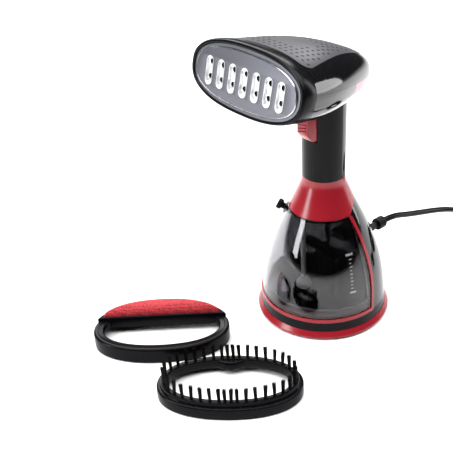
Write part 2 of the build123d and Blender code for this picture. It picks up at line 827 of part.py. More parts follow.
nozzle_end = boiler_back + 8.0
with BuildPart() as steam_nozzle:
    add(rod(head_point(42, 0, boiler_back), head_point(42, 0, nozzle_end), 2.5))
finish(steam_nozzle.part, "steam_nozzle")


def pipe(points, radii, radius):
    """A round pipe along straight runs joined by arcs."""
    with BuildPart() as made:
        with BuildLine():
            path = FilletPolyline(*points, radius=radii)
        with BuildSketch(Plane(origin=path @ 0, z_dir=path % 0)):
            Circle(radius)
        sweep(path=path)
    return made.part, path.length


hose_radius = 2.5
suction_hose, _ = pipe(
    (
        (tube_x, tube_y, outlet_z + 8),
        (tube_x, tube_y, outlet_z + 17),
        (tube_x, 9, outlet_z + 17),
        (tube_x, 9, 86),
        (-spigot_x, pump_y, 72),
        (-spigot_x, pump_y, band_top + 37.5),
    ),
    (6, 6, 12, 12),
    hose_radius,
)
finish(suction_hose, "suction_hose")

steam_hose, _ = pipe(
    (
        (spigot_x, pump_y, band_top + 37.5),
        (spigot_x, pump_y, 76),
        (8, 9, 100),
        (8, 8.5, 140),
        (8, 8, 208),
        (22, -12, 226),
        head_point(42, 0, nozzle_end + 16),
        head_point(42, 0, nozzle_end),
    ),
    (20, 30, 60, 12, 10, 8),
    hose_radius,
)
finish(steam_hose, "steam_hose")

wiring_loom, _ = pipe(
    (
        (20.5, 16, band_top + 34),
        (20.5, 16, 63),
        (8, 18, 88),
        (0, 13.5, 112),
        (-7, 10, 140),
        (-7, 9, 208),
        (-16, -12, 224),
        head_point(-22, 0, boiler_back + 12),
    ),
    (10, 12, 20, 30, 12, 12),
    2.0,
)
finish(wiring_loom, "wiring_loom")

inner_leads, _ = pipe(
    (
        (0, guard_y - 6, guard_z),
        (0, guard_y - 15, guard_z),
        (14, 25, 63),
        (27.5, 16, 63),
        (27.5, 16, band_top + 34),
    ),
    (5, 6, 5),
    1.8,
)
finish(inner_leads, "inner_leads")

# ---- Power cord ---------------------------------------------------------------------------------
# Free length outside the bushing: about 1.8 m, of which most lies in a tied coil.
coil_x, coil_y = 40.5, 253.0
coil_inner, coil_outer = 21.2, 45.4
coil_height = 12.2
lead_route = (
    (0.0, exit_y, guard_z),
    (0.0, exit_y + 14.0, guard_z),
    (0.3, exit_y + 35.0, 44.0),
    (0.7, exit_y + 57.0, 37.2),
    (0.6, exit_y + 80.0, 30.0),
    (-0.3, exit_y + 102.0, 21.5),
    (-2.0, exit_y + 120.0, 12.5),
    (-4.2, exit_y + 136.0, 4.6),
    (-6.4, exit_y + 150.0, cord_radius),
    (-8.4, exit_y + 165.0, cord_radius),
)


def corner_radii(points):
    """The largest arc that each corner's two runs allow, in the route's order."""
    radii = []
    for a, b, c in zip(points, points[1:], points[2:]):
        first = Vector(*b) - Vector(*a)
        second = Vector(*c) - Vector(*b)
        turn = radians(first.get_angle(second))
        radii.append(0.45 * min(first.length, second.length) / tan(turn / 2))
    return radii


lead_radii = corner_radii(lead_route)
print("cord corner radii, mm:", [round(r, 1) for r in lead_radii])
power_cord, lead_length = pipe(lead_route, lead_radii, cord_radius)
print("cord tube:", round(power_cord.volume / (pi * cord_radius**2 * lead_length), 4), "of section x length")
finish(power_cord, "power_cord")

tie_turn = 60.0
tie_width = 7.0
tie_thick = 0.8


def tie_block(radial_low, radial_high, z_low, z_high):
    """A block across the coil's bundle where the tie sits."""
    turn = radians(tie_turn)
    out = Vector(cos(turn), sin(turn), 0)
    middle = (radial_low + radial_high) / 2
    at = Plane(
        origin=Vector(coil_x, coil_y, z_low) + out * middle, x_dir=out, z_dir=(0, 0, 1)
    )
    with BuildPart() as made:
        with BuildSketch(at):
            Rectangle(radial_high - radial_low, tie_width)
        extrude(amount=z_high - z_low)
    return made.part


with BuildPart() as cord_coil:
    with BuildSketch(Plane.XY):
        with Locations((coil_x, coil_y)):
            Circle(coil_outer)
            Circle(coil_inner, mode=Mode.SUBTRACT)
    extrude(amount=coil_height)
    fillet(edges().filter_by(GeomType.CIRCLE), 2.6)
    add(tie_block(coil_inner - 3, coil_outer + 3, -1, tie_thick), mode=Mode.SUBTRACT)
finish(cord_coil.part, "cord_coil")

with BuildPart() as cord_tie:
    add(tie_block(coil_inner - tie_thick - 0.8, coil_outer + tie_thick + 0.4, 0, coil_height + tie_thick))
    add(tie_block(coil_inner - 0.6, coil_outer + 0.3, tie_thick, coil_height), mode=Mode.SUBTRACT)
finish(cord_tie.part, "cord_tie")

plug_turn = 18.0  # degrees that the plug points away from the coil's side
plug_z = 13.0
plug_tail = Vector(95.2, 214.8, plug_z)
plug_way = Vector(sin(radians(plug_turn)), -cos(radians(plug_turn)), 0)
relief_length = 14.0
plug_length = 34.0
pin_pitch = 19.0
pin_length = 19.0


def across(along):
    """A plane across the plug, that far along it from where the cord goes in."""
    side = (cos(radians(plug_turn)), sin(radians(plug_turn)), 0)
    return Plane(origin=plug_tail + plug_way * along, x_dir=side, z_dir=plug_way)


tail_route = (
    (coil_x + coil_outer + cord_radius + 0.6, 251.0, 9.0),
    tuple(plug_tail - plug_way * 17.0),
    tuple(plug_tail),
)
tail_radii = corner_radii(tail_route)
print("cord tail radii, mm:", [round(r, 1) for r in tail_radii])
cord_tail, tail_length = pipe(tail_route, tail_radii, cord_radius)
finish(cord_tail, "cord_tail")

with BuildPart() as mains_plug:
    with BuildSketch(across(0)):
        Circle(cord_radius + 0.6)
    with BuildSketch(across(relief_length)):
        Circle(cord_radius + 2.6)
    loft()
    with BuildSketch(across(relief_length)):
        Ellipse(9.0, 7.5)
    with BuildSketch(across(relief_length + 0.55 * plug_length)):
        Ellipse(11.5, 9.0)
    with BuildSketch(across(relief_length + plug_length - 6)):
        Ellipse(17.5, plug_z)
    loft()
    with BuildSketch(across(relief_length + plug_length - 6)):
        Ellipse(17.5, plug_z)
    extrude(amount=6.0)
finish(mains_plug.part, "mains_plug")

with BuildPart() as plug_pins:
    with BuildSketch(across(relief_length + plug_length)):
        with Locations((-pin_pitch / 2, 0), (pin_pitch / 2, 0)):
            Circle(2.4)
    extrude(amount=pin_length)
finish(plug_pins.part, "plug_pins")

# ---- Clip-on brushes, lying on the floor --------------------------------------------------------
half_l, half_d = brush_length / 2, brush_depth / 2
lint_plane = Plane(
    origin=(-59.4, -143.7, 0), x_dir=(cos(radians(50.0)), sin(radians(50.0)), 0), z_dir=(0, 0, 1)
)
bristle_plane = Plane(
    origin=(35.5, -145.5, 0), x_dir=(cos(radians(47.0)), sin(radians(47.0)), 0), z_dir=(0, 0, 1)
)
pad_chord = 13.0  # the lint pad fills the brush's back from here
pad_rim = 2.4
tub_height = lint_height + 3.5
pad_seat = lint_height
pad_top = lint_height + 9.6


def brush_sketch(plane, z, inset, back_of=None, front_of=None):
    """The brush's outline on a plane at height z, cut by chords across its long axis."""
    with BuildSketch(plane.offset(z)) as made:
        with BuildLine():
            Spline(*rounded(half_l - inset, half_d - inset, inset - half_d, brush_squareness), periodic=True)
        make_face()
        if back_of is not None:
            with Locations((0, back_of + brush_depth / 2)):
                Rectangle(2 * brush_length, brush_depth, mode=Mode.INTERSECT)
        if front_of is not None:
            with Locations((0, front_of - brush_depth)):
                Rectangle(2 * brush_length, 2 * brush_depth, mode=Mode.INTERSECT)
    return made.sketch


with BuildPart() as lint_frame:
    extrude(brush_sketch(lint_plane, 0, 0), amount=lint_height)
    extrude(brush_sketch(lint_plane, 0, 0.4, back_of=pad_chord - pad_rim), amount=tub_height)
    extrude(
        brush_sketch(lint_plane, -1, brush_band, front_of=pad_chord - pad_rim),
        amount=lint_height + 2,
        mode=Mode.SUBTRACT,
    )
    extrude(brush_sketch(lint_plane, -1, brush_skirt), amount=lint_recess + 1, mode=Mode.SUBTRACT)
    extrude(
        brush_sketch(lint_plane, pad_seat, pad_rim, back_of=pad_chord),
        amount=lint_height,
        mode=Mode.SUBTRACT,
    )
finish(lint_frame.part, "lint_frame")

with BuildPart() as lint_pad:
    extrude(
        brush_sketch(lint_plane, pad_seat, pad_rim + 0.2, back_of=pad_chord + 0.2),
        amount=pad_top - pad_seat,
    )
    fillet(edges().group_by(Axis.Z)[-1], 5.0)
finish(lint_pad.part, "lint_pad")

tab_half = 18.0
tab_depth = 5.5
with BuildPart() as bristle_frame:
    extrude(brush_sketch(bristle_plane, 0, 0), amount=bristle_height)
    extrude(brush_sketch(bristle_plane, 0, ledge_inset), amount=ledge_height)
    extrude(brush_sketch(bristle_plane, -1, brush_band), amount=ledge_height + 2, mode=Mode.SUBTRACT)
    extrude(brush_sketch(bristle_plane, -1, brush_skirt), amount=bristle_recess + 1, mode=Mode.SUBTRACT)
    with BuildSketch(bristle_plane.offset(bristle_recess + 0.2)):
        with BuildLine():
            inner_edge = half_d - brush_band
            Spline((-tab_half, inner_edge + 1.0), (0, inner_edge - tab_depth), (tab_half, inner_edge + 1.0))
            Line((tab_half, inner_edge + 1.0), (-tab_half, inner_edge + 1.0))
        make_face()
    extrude(amount=4.2)
finish(bristle_frame.part, "bristle_frame")

# Distances of the tufts from the brush's middle along its long axis, closer at the centre.
tuft_offsets = (2.4, 7.2, 14.4, 22.0, 29.6, 37.0, 43.6, 49.2, 53.2)
tuft_inset = 6.3
tuft_line = (half_l - tuft_inset, half_d - tuft_inset)


def tuft_places():
    """Where each tuft stands on the bristle brush, in the brush's own plane."""
    places = [(tuft_line[0], 0.0), (-tuft_line[0], 0.0)]
    for along in tuft_offsets:
        across_ring = tuft_line[1] * (1 - (along / tuft_line[0]) ** brush_squareness) ** (
            1 / brush_squareness
        )
        places += [(sx * along, sy * across_ring) for sx in (-1, 1) for sy in (-1, 1)]
    return places


with BuildPart() as bristles:
    with BuildSketch(bristle_plane.offset(ledge_height)):
        with Locations(*tuft_places()):
            Circle(tuft_radius)
    extrude(amount=tuft_height)
finish(bristles.part, "bristles")
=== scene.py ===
import bisect
import json
import math
import random

import bmesh
import bpy
import numpy as np
from mathutils import Matrix, Vector
from mathutils.bvhtree import BVHTree


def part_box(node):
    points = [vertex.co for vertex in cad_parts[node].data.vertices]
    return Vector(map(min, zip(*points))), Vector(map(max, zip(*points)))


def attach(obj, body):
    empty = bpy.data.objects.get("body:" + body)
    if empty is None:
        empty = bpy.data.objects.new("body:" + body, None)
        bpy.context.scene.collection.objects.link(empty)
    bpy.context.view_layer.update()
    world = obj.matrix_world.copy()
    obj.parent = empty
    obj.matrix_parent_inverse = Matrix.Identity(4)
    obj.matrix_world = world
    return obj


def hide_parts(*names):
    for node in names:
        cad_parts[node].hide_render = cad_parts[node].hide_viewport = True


# Looks of a handheld garment steamer and its two clip-on brushes. Metres, +Z up.
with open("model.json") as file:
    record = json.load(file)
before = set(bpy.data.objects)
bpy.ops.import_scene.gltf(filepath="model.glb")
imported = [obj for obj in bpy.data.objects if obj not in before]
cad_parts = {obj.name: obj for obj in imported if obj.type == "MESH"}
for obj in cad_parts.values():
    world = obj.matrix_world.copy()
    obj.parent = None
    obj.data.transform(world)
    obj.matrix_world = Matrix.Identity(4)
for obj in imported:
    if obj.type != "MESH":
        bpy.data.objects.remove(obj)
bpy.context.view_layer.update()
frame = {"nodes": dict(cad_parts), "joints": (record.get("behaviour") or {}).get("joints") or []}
mm = 0.001


def low(node):
    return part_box(node)[0]


def high(node):
    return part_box(node)[1]


def middle(node):
    return (low(node) + high(node)) / 2


# ---- Shader node groups -------------------------------------------------------------------------
def add_node(nodes, kind, operation=None, values=None):
    """A new shader node, with its operation and the values of its inputs."""
    node = nodes.new("ShaderNode" + kind)
    if operation is not None:
        node.operation = operation
    for label, value in (values or {}).items():
        node.inputs[label].default_value = value
    return node


def new_group(name, inputs, outputs):
    """An empty shader node group: inputs are (name, kind, value), outputs are (name, kind)."""
    group = bpy.data.node_groups.new(name, "ShaderNodeTree")
    for label, kind, value in inputs:
        socket = group.interface.new_socket(label, in_out="INPUT", socket_type=kind)
        socket.default_value = value
    for label, kind in outputs:
        group.interface.new_socket(label, in_out="OUTPUT", socket_type=kind)
    nodes = group.nodes
    return group, nodes.new("NodeGroupInput"), nodes.new("NodeGroupOutput")


def make_mould_texture():
    """Fine spark-eroded grain on a moulded face, with slow drifts of colour and gloss."""
    group, given, result = new_group(
        "mould_texture",
        (
            ("Color", "NodeSocketColor", (0.5, 0.5, 0.5, 1)),
            ("Roughness", "NodeSocketFloat", 0.4),
            ("Grain Scale", "NodeSocketFloat", 2400.0),
            ("Grain Depth", "NodeSocketFloat", 0.1),
            ("Drift", "NodeSocketFloat", 0.1),
        ),
        (
            ("Color", "NodeSocketColor"),
            ("Roughness", "NodeSocketFloat"),
            ("Normal", "NodeSocketVector"),
        ),
    )
    nodes, links = group.nodes, group.links
    place = add_node(nodes, "TexCoord")
    grain = add_node(nodes, "TexNoise", values={"Detail": 3.0})
    links.new(place.outputs["Object"], grain.inputs["Vector"])
    links.new(given.outputs["Grain Scale"], grain.inputs["Scale"])
    bump = add_node(nodes, "Bump", values={"Distance": 0.05 * mm})
    links.new(given.outputs["Grain Depth"], bump.inputs["Strength"])
    links.new(grain.outputs["Fac"], bump.inputs["Height"])
    links.new(bump.outputs["Normal"], result.inputs["Normal"])
    drift = add_node(nodes, "TexNoise", values={"Scale": 35.0, "Detail": 4.0})
    links.new(place.outputs["Object"], drift.inputs["Vector"])
    centred = add_node(nodes, "Math", "SUBTRACT", {1: 0.5})
    links.new(drift.outputs["Fac"], centred.inputs[0])
    swing = add_node(nodes, "Math", "MULTIPLY_ADD")
    links.new(centred.outputs["Value"], swing.inputs[0])
    links.new(given.outputs["Drift"], swing.inputs[1])
    swing.inputs[2].default_value = 1.0
    rough = add_node(nodes, "Math", "MULTIPLY")
    links.new(given.outputs["Roughness"], rough.inputs[0])
    links.new(swing.outputs["Value"], rough.inputs[1])
    links.new(rough.outputs["Value"], result.inputs["Roughness"])
    shade = add_node(nodes, "VectorMath", "SCALE")
    links.new(given.outputs["Color"], shade.inputs[0])
    links.new(swing.outputs["Value"], shade.inputs["Scale"])
    links.new(shade.outputs["Vector"], result.inputs["Color"])
    return group


def make_dust():
    """A sparse scatter of dust that lightens and dulls faces that look up."""
    group, given, result = new_group(
        "settled_dust",
        (
            ("Color", "NodeSocketColor", (0.5, 0.5, 0.5, 1)),
            ("Roughness", "NodeSocketFloat", 0.4),
            ("Amount", "NodeSocketFloat", 0.1),
        ),
        (("Color", "NodeSocketColor"), ("Roughness", "NodeSocketFloat")),
    )
    nodes, links = group.nodes, group.links
    place = add_node(nodes, "TexCoord")
    specks = add_node(nodes, "TexNoise", values={"Scale": 900.0, "Detail": 2.0})
    links.new(place.outputs["Object"], specks.inputs["Vector"])
    shape = add_node(nodes, "NewGeometry")
    upward = add_node(nodes, "SeparateXYZ")
    links.new(shape.outputs["Normal"], upward.inputs["Vector"])
    facing = add_node(nodes, "MapRange", values={"From Min": 0.3})
    links.new(upward.outputs["Z"], facing.inputs["Value"])
    sparse = add_node(nodes, "MapRange", values={"From Min": 0.55, "From Max": 0.75})
    links.new(specks.outputs["Fac"], sparse.inputs["Value"])
    both = add_node(nodes, "Math", "MULTIPLY")
    links.new(facing.outputs["Result"], both.inputs[0])
    links.new(sparse.outputs["Result"], both.inputs[1])
    cover = add_node(nodes, "Math", "MULTIPLY")
    links.new(both.outputs["Value"], cover.inputs[0])
    links.new(given.outputs["Amount"], cover.inputs[1])
    colour = add_node(nodes, "Mix")
    colour.data_type = "RGBA"
    colour.inputs["B"].default_value = (0.35, 0.34, 0.33, 1)
    links.new(cover.outputs["Value"], colour.inputs["Factor"])
    links.new(given.outputs["Color"], colour.inputs["A"])
    links.new(colour.outputs["Result"], result.inputs["Color"])
    dull = add_node(nodes, "Math", "ADD")
    dull.use_clamp = True
    links.new(given.outputs["Roughness"], dull.inputs[0])
    links.new(cover.outputs["Value"], dull.inputs[1])
    links.new(dull.outputs["Value"], result.inputs["Roughness"])
    return group


mould_texture = make_mould_texture()
settled_dust = make_dust()


# ---- Materials ----------------------------------------------------------------------------------
def new_material(name):
    """A node material, its tree's nodes and links, and its Principled BSDF."""
    material = bpy.data.materials.new(name)
    material.use_nodes = True
    nodes, links = material.node_tree.nodes, material.node_tree.links
    return material, nodes, links, nodes["Principled BSDF"]


def plastic(name, colour, roughness, grain=0.0, grain_scale=2400.0, drift=0.15, dust=0.04, specular=0.5):
    """Moulded plastic: grain, slow drift of gloss and a little dust, over one base colour."""
    material, nodes, links, shader = new_material(name)
    texture = add_node(nodes, "Group")
    texture.node_tree = mould_texture
    texture.inputs["Color"].default_value = (*colour, 1)
    texture.inputs["Roughness"].default_value = roughness
    texture.inputs["Grain Scale"].default_value = grain_scale
    texture.inputs["Grain Depth"].default_value = grain
    texture.inputs["Drift"].default_value = drift
    dusty = add_node(nodes, "Group")
    dusty.node_tree = settled_dust
    dusty.inputs["Amount"].default_value = dust
    links.new(texture.outputs["Color"], dusty.inputs["Color"])
    links.new(texture.outputs["Roughness"], dusty.inputs["Roughness"])
    links.new(dusty.outputs["Color"], shader.inputs["Base Color"])
    links.new(dusty.outputs["Roughness"], shader.inputs["Roughness"])
    links.new(texture.outputs["Normal"], shader.inputs["Normal"])
    shader.inputs["Specular IOR Level"].default_value = specular
    return material


def metal(name, colour, roughness, grain=0.05, grain_scale=1500.0, drift=0.2):
    """Bare or plated metal with a fine tooth."""
    material = plastic(name, colour, roughness, grain, grain_scale, drift, dust=0.0)
    material.node_tree.nodes["Principled BSDF"].inputs["Metallic"].default_value = 1.0
    return material


def clear_tank_plastic():
    """Smoked clear plastic, polished, with faint flow lines from the mould."""
    material, nodes, links, shader = new_material("smoked_clear_plastic")
    shader.inputs["Transmission Weight"].default_value = 1.0
    shader.inputs["IOR"].default_value = 1.46
    place = add_node(nodes, "TexCoord")
    flow = add_node(nodes, "TexNoise", values={"Scale": 30.0, "Detail": 2.0})
    links.new(place.outputs["Object"], flow.inputs["Vector"])
    colour = add_node(nodes, "Mix")
    colour.data_type = "RGBA"
    colour.inputs["A"].default_value = (0.42, 0.42, 0.44, 1)
    colour.inputs["B"].default_value = (0.47, 0.47, 0.49, 1)
    links.new(flow.outputs["Fac"], colour.inputs["Factor"])
    links.new(colour.outputs["Result"], shader.inputs["Base Color"])
    rough = add_node(nodes, "MapRange", values={"To Min": 0.015, "To Max": 0.05})
    links.new(flow.outputs["Fac"], rough.inputs["Value"])
    links.new(rough.outputs["Result"], shader.inputs["Roughness"])
    return material


def lint_fabric():
    """Short-pile knitted lint fabric: small slanted loops in the fabric's red, with a painted highlight on
    their tops and painted shade between them.
    """
    material, nodes, links, shader = new_material("lint_fabric_red")
    place = add_node(nodes, "TexCoord")
    loops = add_node(nodes, "TexVoronoi", values={"Scale": 480.0, "Randomness": 0.45})
    stretched = add_node(nodes, "Mapping", values={"Rotation": (0, 0, 0.6), "Scale": (1.0, 1.6, 1.0)})
    links.new(place.outputs["Object"], stretched.inputs["Vector"])
    links.new(stretched.outputs["Vector"], loops.inputs["Vector"])
    weave = add_node(nodes, "Math", "SUBTRACT", {0: 0.75})
    links.new(loops.outputs["Distance"], weave.inputs[1])
    fibres = add_node(nodes, "TexNoise", values={"Scale": 1600.0, "Detail": 3.0})
    links.new(place.outputs["Object"], fibres.inputs["Vector"])
    pile = add_node(nodes, "Math", "MULTIPLY_ADD", {1: 0.6})
    links.new(fibres.outputs["Fac"], pile.inputs[0])
    links.new(weave.outputs["Value"], pile.inputs[2])
    # Painted highlight and shade: the ramp lightens the loop tops and darkens the gaps between loops, over
    # the fabric's red.
    ramp = add_node(nodes, "ValToRGB")
    ramp.color_ramp.elements[0].position = 0.35
    ramp.color_ramp.elements[0].color = (0.19, 0.003, 0.006, 1)
    ramp.color_ramp.elements[1].position = 1.0
    ramp.color_ramp.elements[1].color = (0.66, 0.03, 0.045, 1)
    links.new(pile.outputs["Value"], ramp.inputs["Fac"])
    links.new(ramp.outputs["Color"], shader.inputs["Base Color"])
    bump = add_node(nodes, "Bump", values={"Strength": 0.8, "Distance": 0.4 * mm})
    links.new(pile.outputs["Value"], bump.inputs["Height"])
    links.new(bump.outputs["Normal"], shader.inputs["Normal"])
    shader.inputs["Roughness"].default_value = 0.75
    shader.inputs["Sheen Weight"].default_value = 0.15
    shader.inputs["Sheen Roughness"].default_value = 0.4
    shader.inputs["Sheen Tint"].default_value = (1.0, 0.35, 0.35, 1)
    return material


def floor_paint():
    """Pale seamless studio floor."""
    return plastic("studio_floor", (0.9, 0.9, 0.9), 0.9, drift=0.0, dust=0.0, specular=0.1)


red_gloss = plastic("red_gloss_plastic", (0.27, 0.010, 0.018), 0.22, drift=0.2, specular=0.4)
accent_red = plastic("accent_red_plastic", (0.48, 0.10, 0.14), 0.16, drift=0.2)
black_gloss = plastic("black_gloss_plastic", (0.003, 0.003, 0.004), 0.06, drift=0.3, specular=0.42)
black_satin = plastic("black_satin_plastic", (0.003, 0.003, 0.004), 0.24, grain=0.08, specular=0.1)
cover_satin = plastic("cover_satin_plastic", (0.05, 0.05, 0.057), 0.36, grain=0.12, drift=0.2)
black_matte = plastic("black_matte_plastic", (0.006, 0.006, 0.006), 0.5, grain=0.3, specular=0.2)
brush_black = plastic("brush_black_plastic", (0.002, 0.002, 0.003), 0.2, grain=0.04, specular=0.07)
bulkhead_dark = plastic("bulkhead_dark_plastic", (0.05, 0.049, 0.053), 0.35, grain=0.1)
rubber_black = plastic("black_rubber", (0.003, 0.003, 0.003), 0.45, grain=0.35, specular=0.12)
cord_black = plastic("cord_jacket_pvc", (0.002, 0.002, 0.002), 0.16, grain=0.03, specular=0.1)
bristle_black = plastic("bristle_nylon", (0.0015, 0.0015, 0.0015), 0.35, drift=0.5, specular=0.05)
# Painted shade: black for the vent holes, standing in for the dark inside of the open holes.
vent_shade_black = plastic("vent_hole_painted_shade", (0.002, 0.002, 0.002), 0.8)
grey_silicone = plastic("grey_silicone", (0.30, 0.30, 0.30), 0.5, grain=0.2)
tube_plastic = plastic("tube_natural_plastic", (0.42, 0.42, 0.43), 0.30, grain=0.1)
scale_print = plastic("scale_print_white", (0.62, 0.62, 0.63), 0.5, grain=0.3)
tank_foot = plastic("tank_foot_red_grey", (0.13, 0.025, 0.032), 0.30, drift=0.2)
# Painted highlight: a pale grey ring along the top of the tank's foot.
tank_foot_highlight_ring = plastic("tank_foot_highlight_ring", (0.30, 0.29, 0.30), 0.3)
plate_grey = metal("steam_plate_satin", (0.135, 0.138, 0.158), 0.48, grain=0.10)
# Painted highlight: a bright copy of the plate's grey metal for the edge of its raised face.
plate_edge_highlight = metal("steam_plate_edge_highlight", (0.86, 0.86, 0.88), 0.16)
# Painted highlight: a bright copy of the plate's metal for the slot floors and walls.
slot_highlight_metal = metal("slot_painted_highlight", (0.93, 0.93, 0.95), 0.3)
slot_highlight_metal.node_tree.nodes["Principled BSDF"].inputs["Metallic"].default_value = 0.8
steel = metal("zinc_plated_steel", (0.6, 0.6, 0.6), 0.32)
cast_metal = metal("cast_aluminium", (0.5, 0.5, 0.51), 0.5, grain=0.5, grain_scale=900.0)
pin_metal = metal("nickel_plated_brass", (0.72, 0.70, 0.64), 0.22)
board_green = plastic("circuit_board_green", (0.03, 0.10, 0.05), 0.4)
clear_smoked = clear_tank_plastic()
fabric_red = lint_fabric()

cad_finish = {
    red_gloss: ("base_ring", "tank_trim", "collar"),
    accent_red: ("rear_accent",),
    black_gloss: ("rear_housing", "handle_rear", "head_waist", "head_lower", "head_body"),
    black_satin: ("base_band", "handle_front"),
    cover_satin: ("head_cover",),
    black_matte: (
        "base_plate",
        "cord_guard",
        "latch_insert",
        "handle_spine",
        "trigger_bracket",
        "micro_switch",
        "terminal_block",
        "pump",
        "pump_spigots",
        "tank_valve",
    ),
    bulkhead_dark: ("bulkhead",),
    clear_smoked: ("water_tank",),
    rubber_black: ("cord_bushing", "mains_plug", "tank_seal", "cord_tie", "wiring_loom", "inner_leads"),
    grey_silicone: ("plate_gasket", "suction_hose", "steam_hose"),
    tube_plastic: ("tank_outlet", "suction_tube", "tank_filter"),
    steel: (
        "base_screws",
        "handle_screws",
        "trigger_pin",
        "trigger_spring",
        "heating_element",
        "thermostat",
        "steam_nozzle",
    ),
    cast_metal: ("boiler",),
    pin_metal: ("plug_pins", "thermal_fuse"),
    board_green: ("circuit_board",),
}


def finish_cad_nodes():
    """Gives every CAD piece that stays visible its material."""
    for material, names in cad_finish.items():
        for name in names:
            mesh = frame["nodes"][name].data
            mesh.materials.clear()
            mesh.materials.append(material)


finish_cad_nodes()


# ---- Making meshes ------------------------------------------------------------------------------
def in_metres(profile):
    return [(inset * mm, height * mm) for inset, height in profile]


def add_piece(name, mesh, material, body):
    """Links a finished mesh, in the row frame, to its CAD body and gives it the material, when one is
    given.
    """
    piece = bpy.data.objects.new(name, mesh)
    bpy.context.scene.collection.objects.link(piece)
    if material is not None:
        mesh.materials.clear()
        mesh.materials.append(material)
    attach(piece, body)
    return piece


def tidy_mesh(name, work, sharp=40.0):
    """A mesh from a bmesh, with its normals outward and edges over sharp degrees left crisp."""
    bmesh.ops.recalc_face_normals(work, faces=work.faces)
    mesh = bpy.data.meshes.new(name)
    work.to_mesh(mesh)
    work.free()
    mesh.shade_smooth()
    mesh.set_sharp_from_angle(angle=math.radians(sharp))
    return mesh


def loops_mesh(name, loops, closed=True, capped=False, sharp=40.0):
    """A skin through loops of points. closed joins the last loop to the first, capped fills both ends."""
    work = bmesh.new()
    rows = [[work.verts.new(point) for point in loop] for loop in loops]
    count = len(rows[0])
    pairs = list(zip(rows, rows[1:]))
    if closed:
        pairs.append((rows[-1], rows[0]))
    for lower, upper in pairs:
        for k in range(count):
            n = (k + 1) % count
            work.faces.new((lower[k], lower[n], upper[n], upper[k]))
    if capped:
        work.faces.new(rows[0])
        work.faces.new(list(reversed(rows[-1])))
    return tidy_mesh(name, work, sharp)


def superellipse(half_width, half_height, power, count):
    """Points round a superellipse, closer together where it turns."""
    points = []
    for k in range(count):
        turn = 2 * math.pi * k / count
        c, s = math.cos(turn), math.sin(turn)
        x = half_width * math.copysign(abs(c) ** (2 / power), c)
        y = half_height * math.copysign(abs(s) ** (2 / power), s)
        points.append((x, y))
    return points


def evaluated_mesh(name, data, change=None):
    """The mesh that data gives after change(its object), such as an added modifier."""
    holder = bpy.data.objects.new(name, data)
    bpy.context.scene.collection.objects.link(holder)
    if change is not None:
        change(holder)
    bpy.context.view_layer.update()
    graph = bpy.context.evaluated_depsgraph_get()
    mesh = bpy.data.meshes.new_from_object(holder.evaluated_get(graph))
    bpy.data.objects.remove(holder)
    return mesh


def ring_sweep(name, outline, profile, place, sharp=40.0):
    """A closed ring whose section is profile, a list of (inset, height) in metres, round outline(inset)."""
    loops = [[place @ Vector((x, y, height)) for x, y in outline(inset)] for inset, height in profile]
    return loops_mesh(name, loops, sharp=sharp)


def joined(name, meshes, materials):
    """One mesh from several, each with its own material, or all with the only one."""
    work = bmesh.new()
    for index, mesh in enumerate(meshes):
        before = len(work.faces)
        work.from_mesh(mesh)
        work.faces.ensure_lookup_table()
        for face in work.faces[before:]:
            face.material_index = min(index, len(materials) - 1)
    result = bpy.data.meshes.new(name)
    work.to_mesh(result)
    work.free()
    for material in materials:
        result.materials.append(material)
    return result


# ---- Camera -------------------------------------------------------------------------------------
def place_camera():
    """The camera that looks down at the steamer from its front left."""
    heading, drop, roll = math.radians(51.2), math.radians(31.7), math.radians(-3.44)
    back, aside, height = 0.6727, -0.0863, 0.4994
    ahead = Vector((-math.sin(heading), math.cos(heading), 0))
    right = Vector((math.cos(heading), math.sin(heading), 0))
    up = Vector((0, 0, 1))
    view = ahead * math.cos(drop) - up * math.sin(drop)
    tilted_up = ahead * math.sin(drop) + up * math.cos(drop)
    camera_right = right * math.cos(roll) + tilted_up * math.sin(roll)
    camera_up = -right * math.sin(roll) + tilted_up * math.cos(roll)
    data = bpy.data.cameras.new("camera")
    data.lens = 69.7
    data.sensor_width = 36.0
    camera = bpy.data.objects.new("camera", data)
    bpy.context.scene.collection.objects.link(camera)
    matrix = Matrix((camera_right, camera_up, -view)).transposed().to_4x4()
    matrix.translation = -ahead * back + right * aside + up * height
    camera.matrix_world = matrix
    bpy.context.scene.camera = camera


place_camera()

# ---- Power cord ---------------------------------------------------------------------------------
cord_radius = 3.0 * mm
turn_spacing = 2 * cord_radius
coil_centre = middle("cord_coil")
outer_turn = (high("cord_coil").x - low("cord_coil").x) / 2 - cord_radius
exit_y = high("cord_bushing").y
exit_z = middle("cord_bushing").z


def ease(t):
    """0 to 1 with a soft start and end."""
    t = min(max(t, 0.0), 1.0)
    return t * t * (3 - 2 * t)


def coil_points(turns=7.5, per_turn=16):
    """Turns that wind in along the floor, climb at the inside and wind out on top of them."""
    lay = (  # (turn, duration, change of radius, change of height)
        (0.0, 0.25, -turn_spacing * 1.08, 0.0),
        (0.75, 0.25, -turn_spacing, 0.0),
        (1.75, 0.25, -turn_spacing, 0.0),
        (2.75, 0.25, -turn_spacing, 0.0),
        (3.5, 0.25, 0.0, turn_spacing),
        (4.25, 0.25, turn_spacing, 0.0),
        (5.25, 0.25, turn_spacing, 0.0),
        (6.25, 0.25, turn_spacing, 0.0),
        (7.25, 0.25, turn_spacing * 1.08, 0.0),
    )
    spread = 1 / 0.985  # the curve runs inside its points
    points = []
    for k in range(int(turns * per_turn) + 1):
        turn = k / per_turn
        radius = outer_turn + turn_spacing * 1.08
        height = cord_radius + 0.05 * mm
        for start, duration, outward, upward in lay:
            share = ease((turn - start) / duration)
            radius += outward * share
            height += upward * share
        angle = math.pi - 2 * math.pi * turn
        x = coil_centre.x + radius * spread * math.cos(angle)
        y = coil_centre.y + radius * spread * math.sin(angle)
        points.append((x, y, height))
    return points


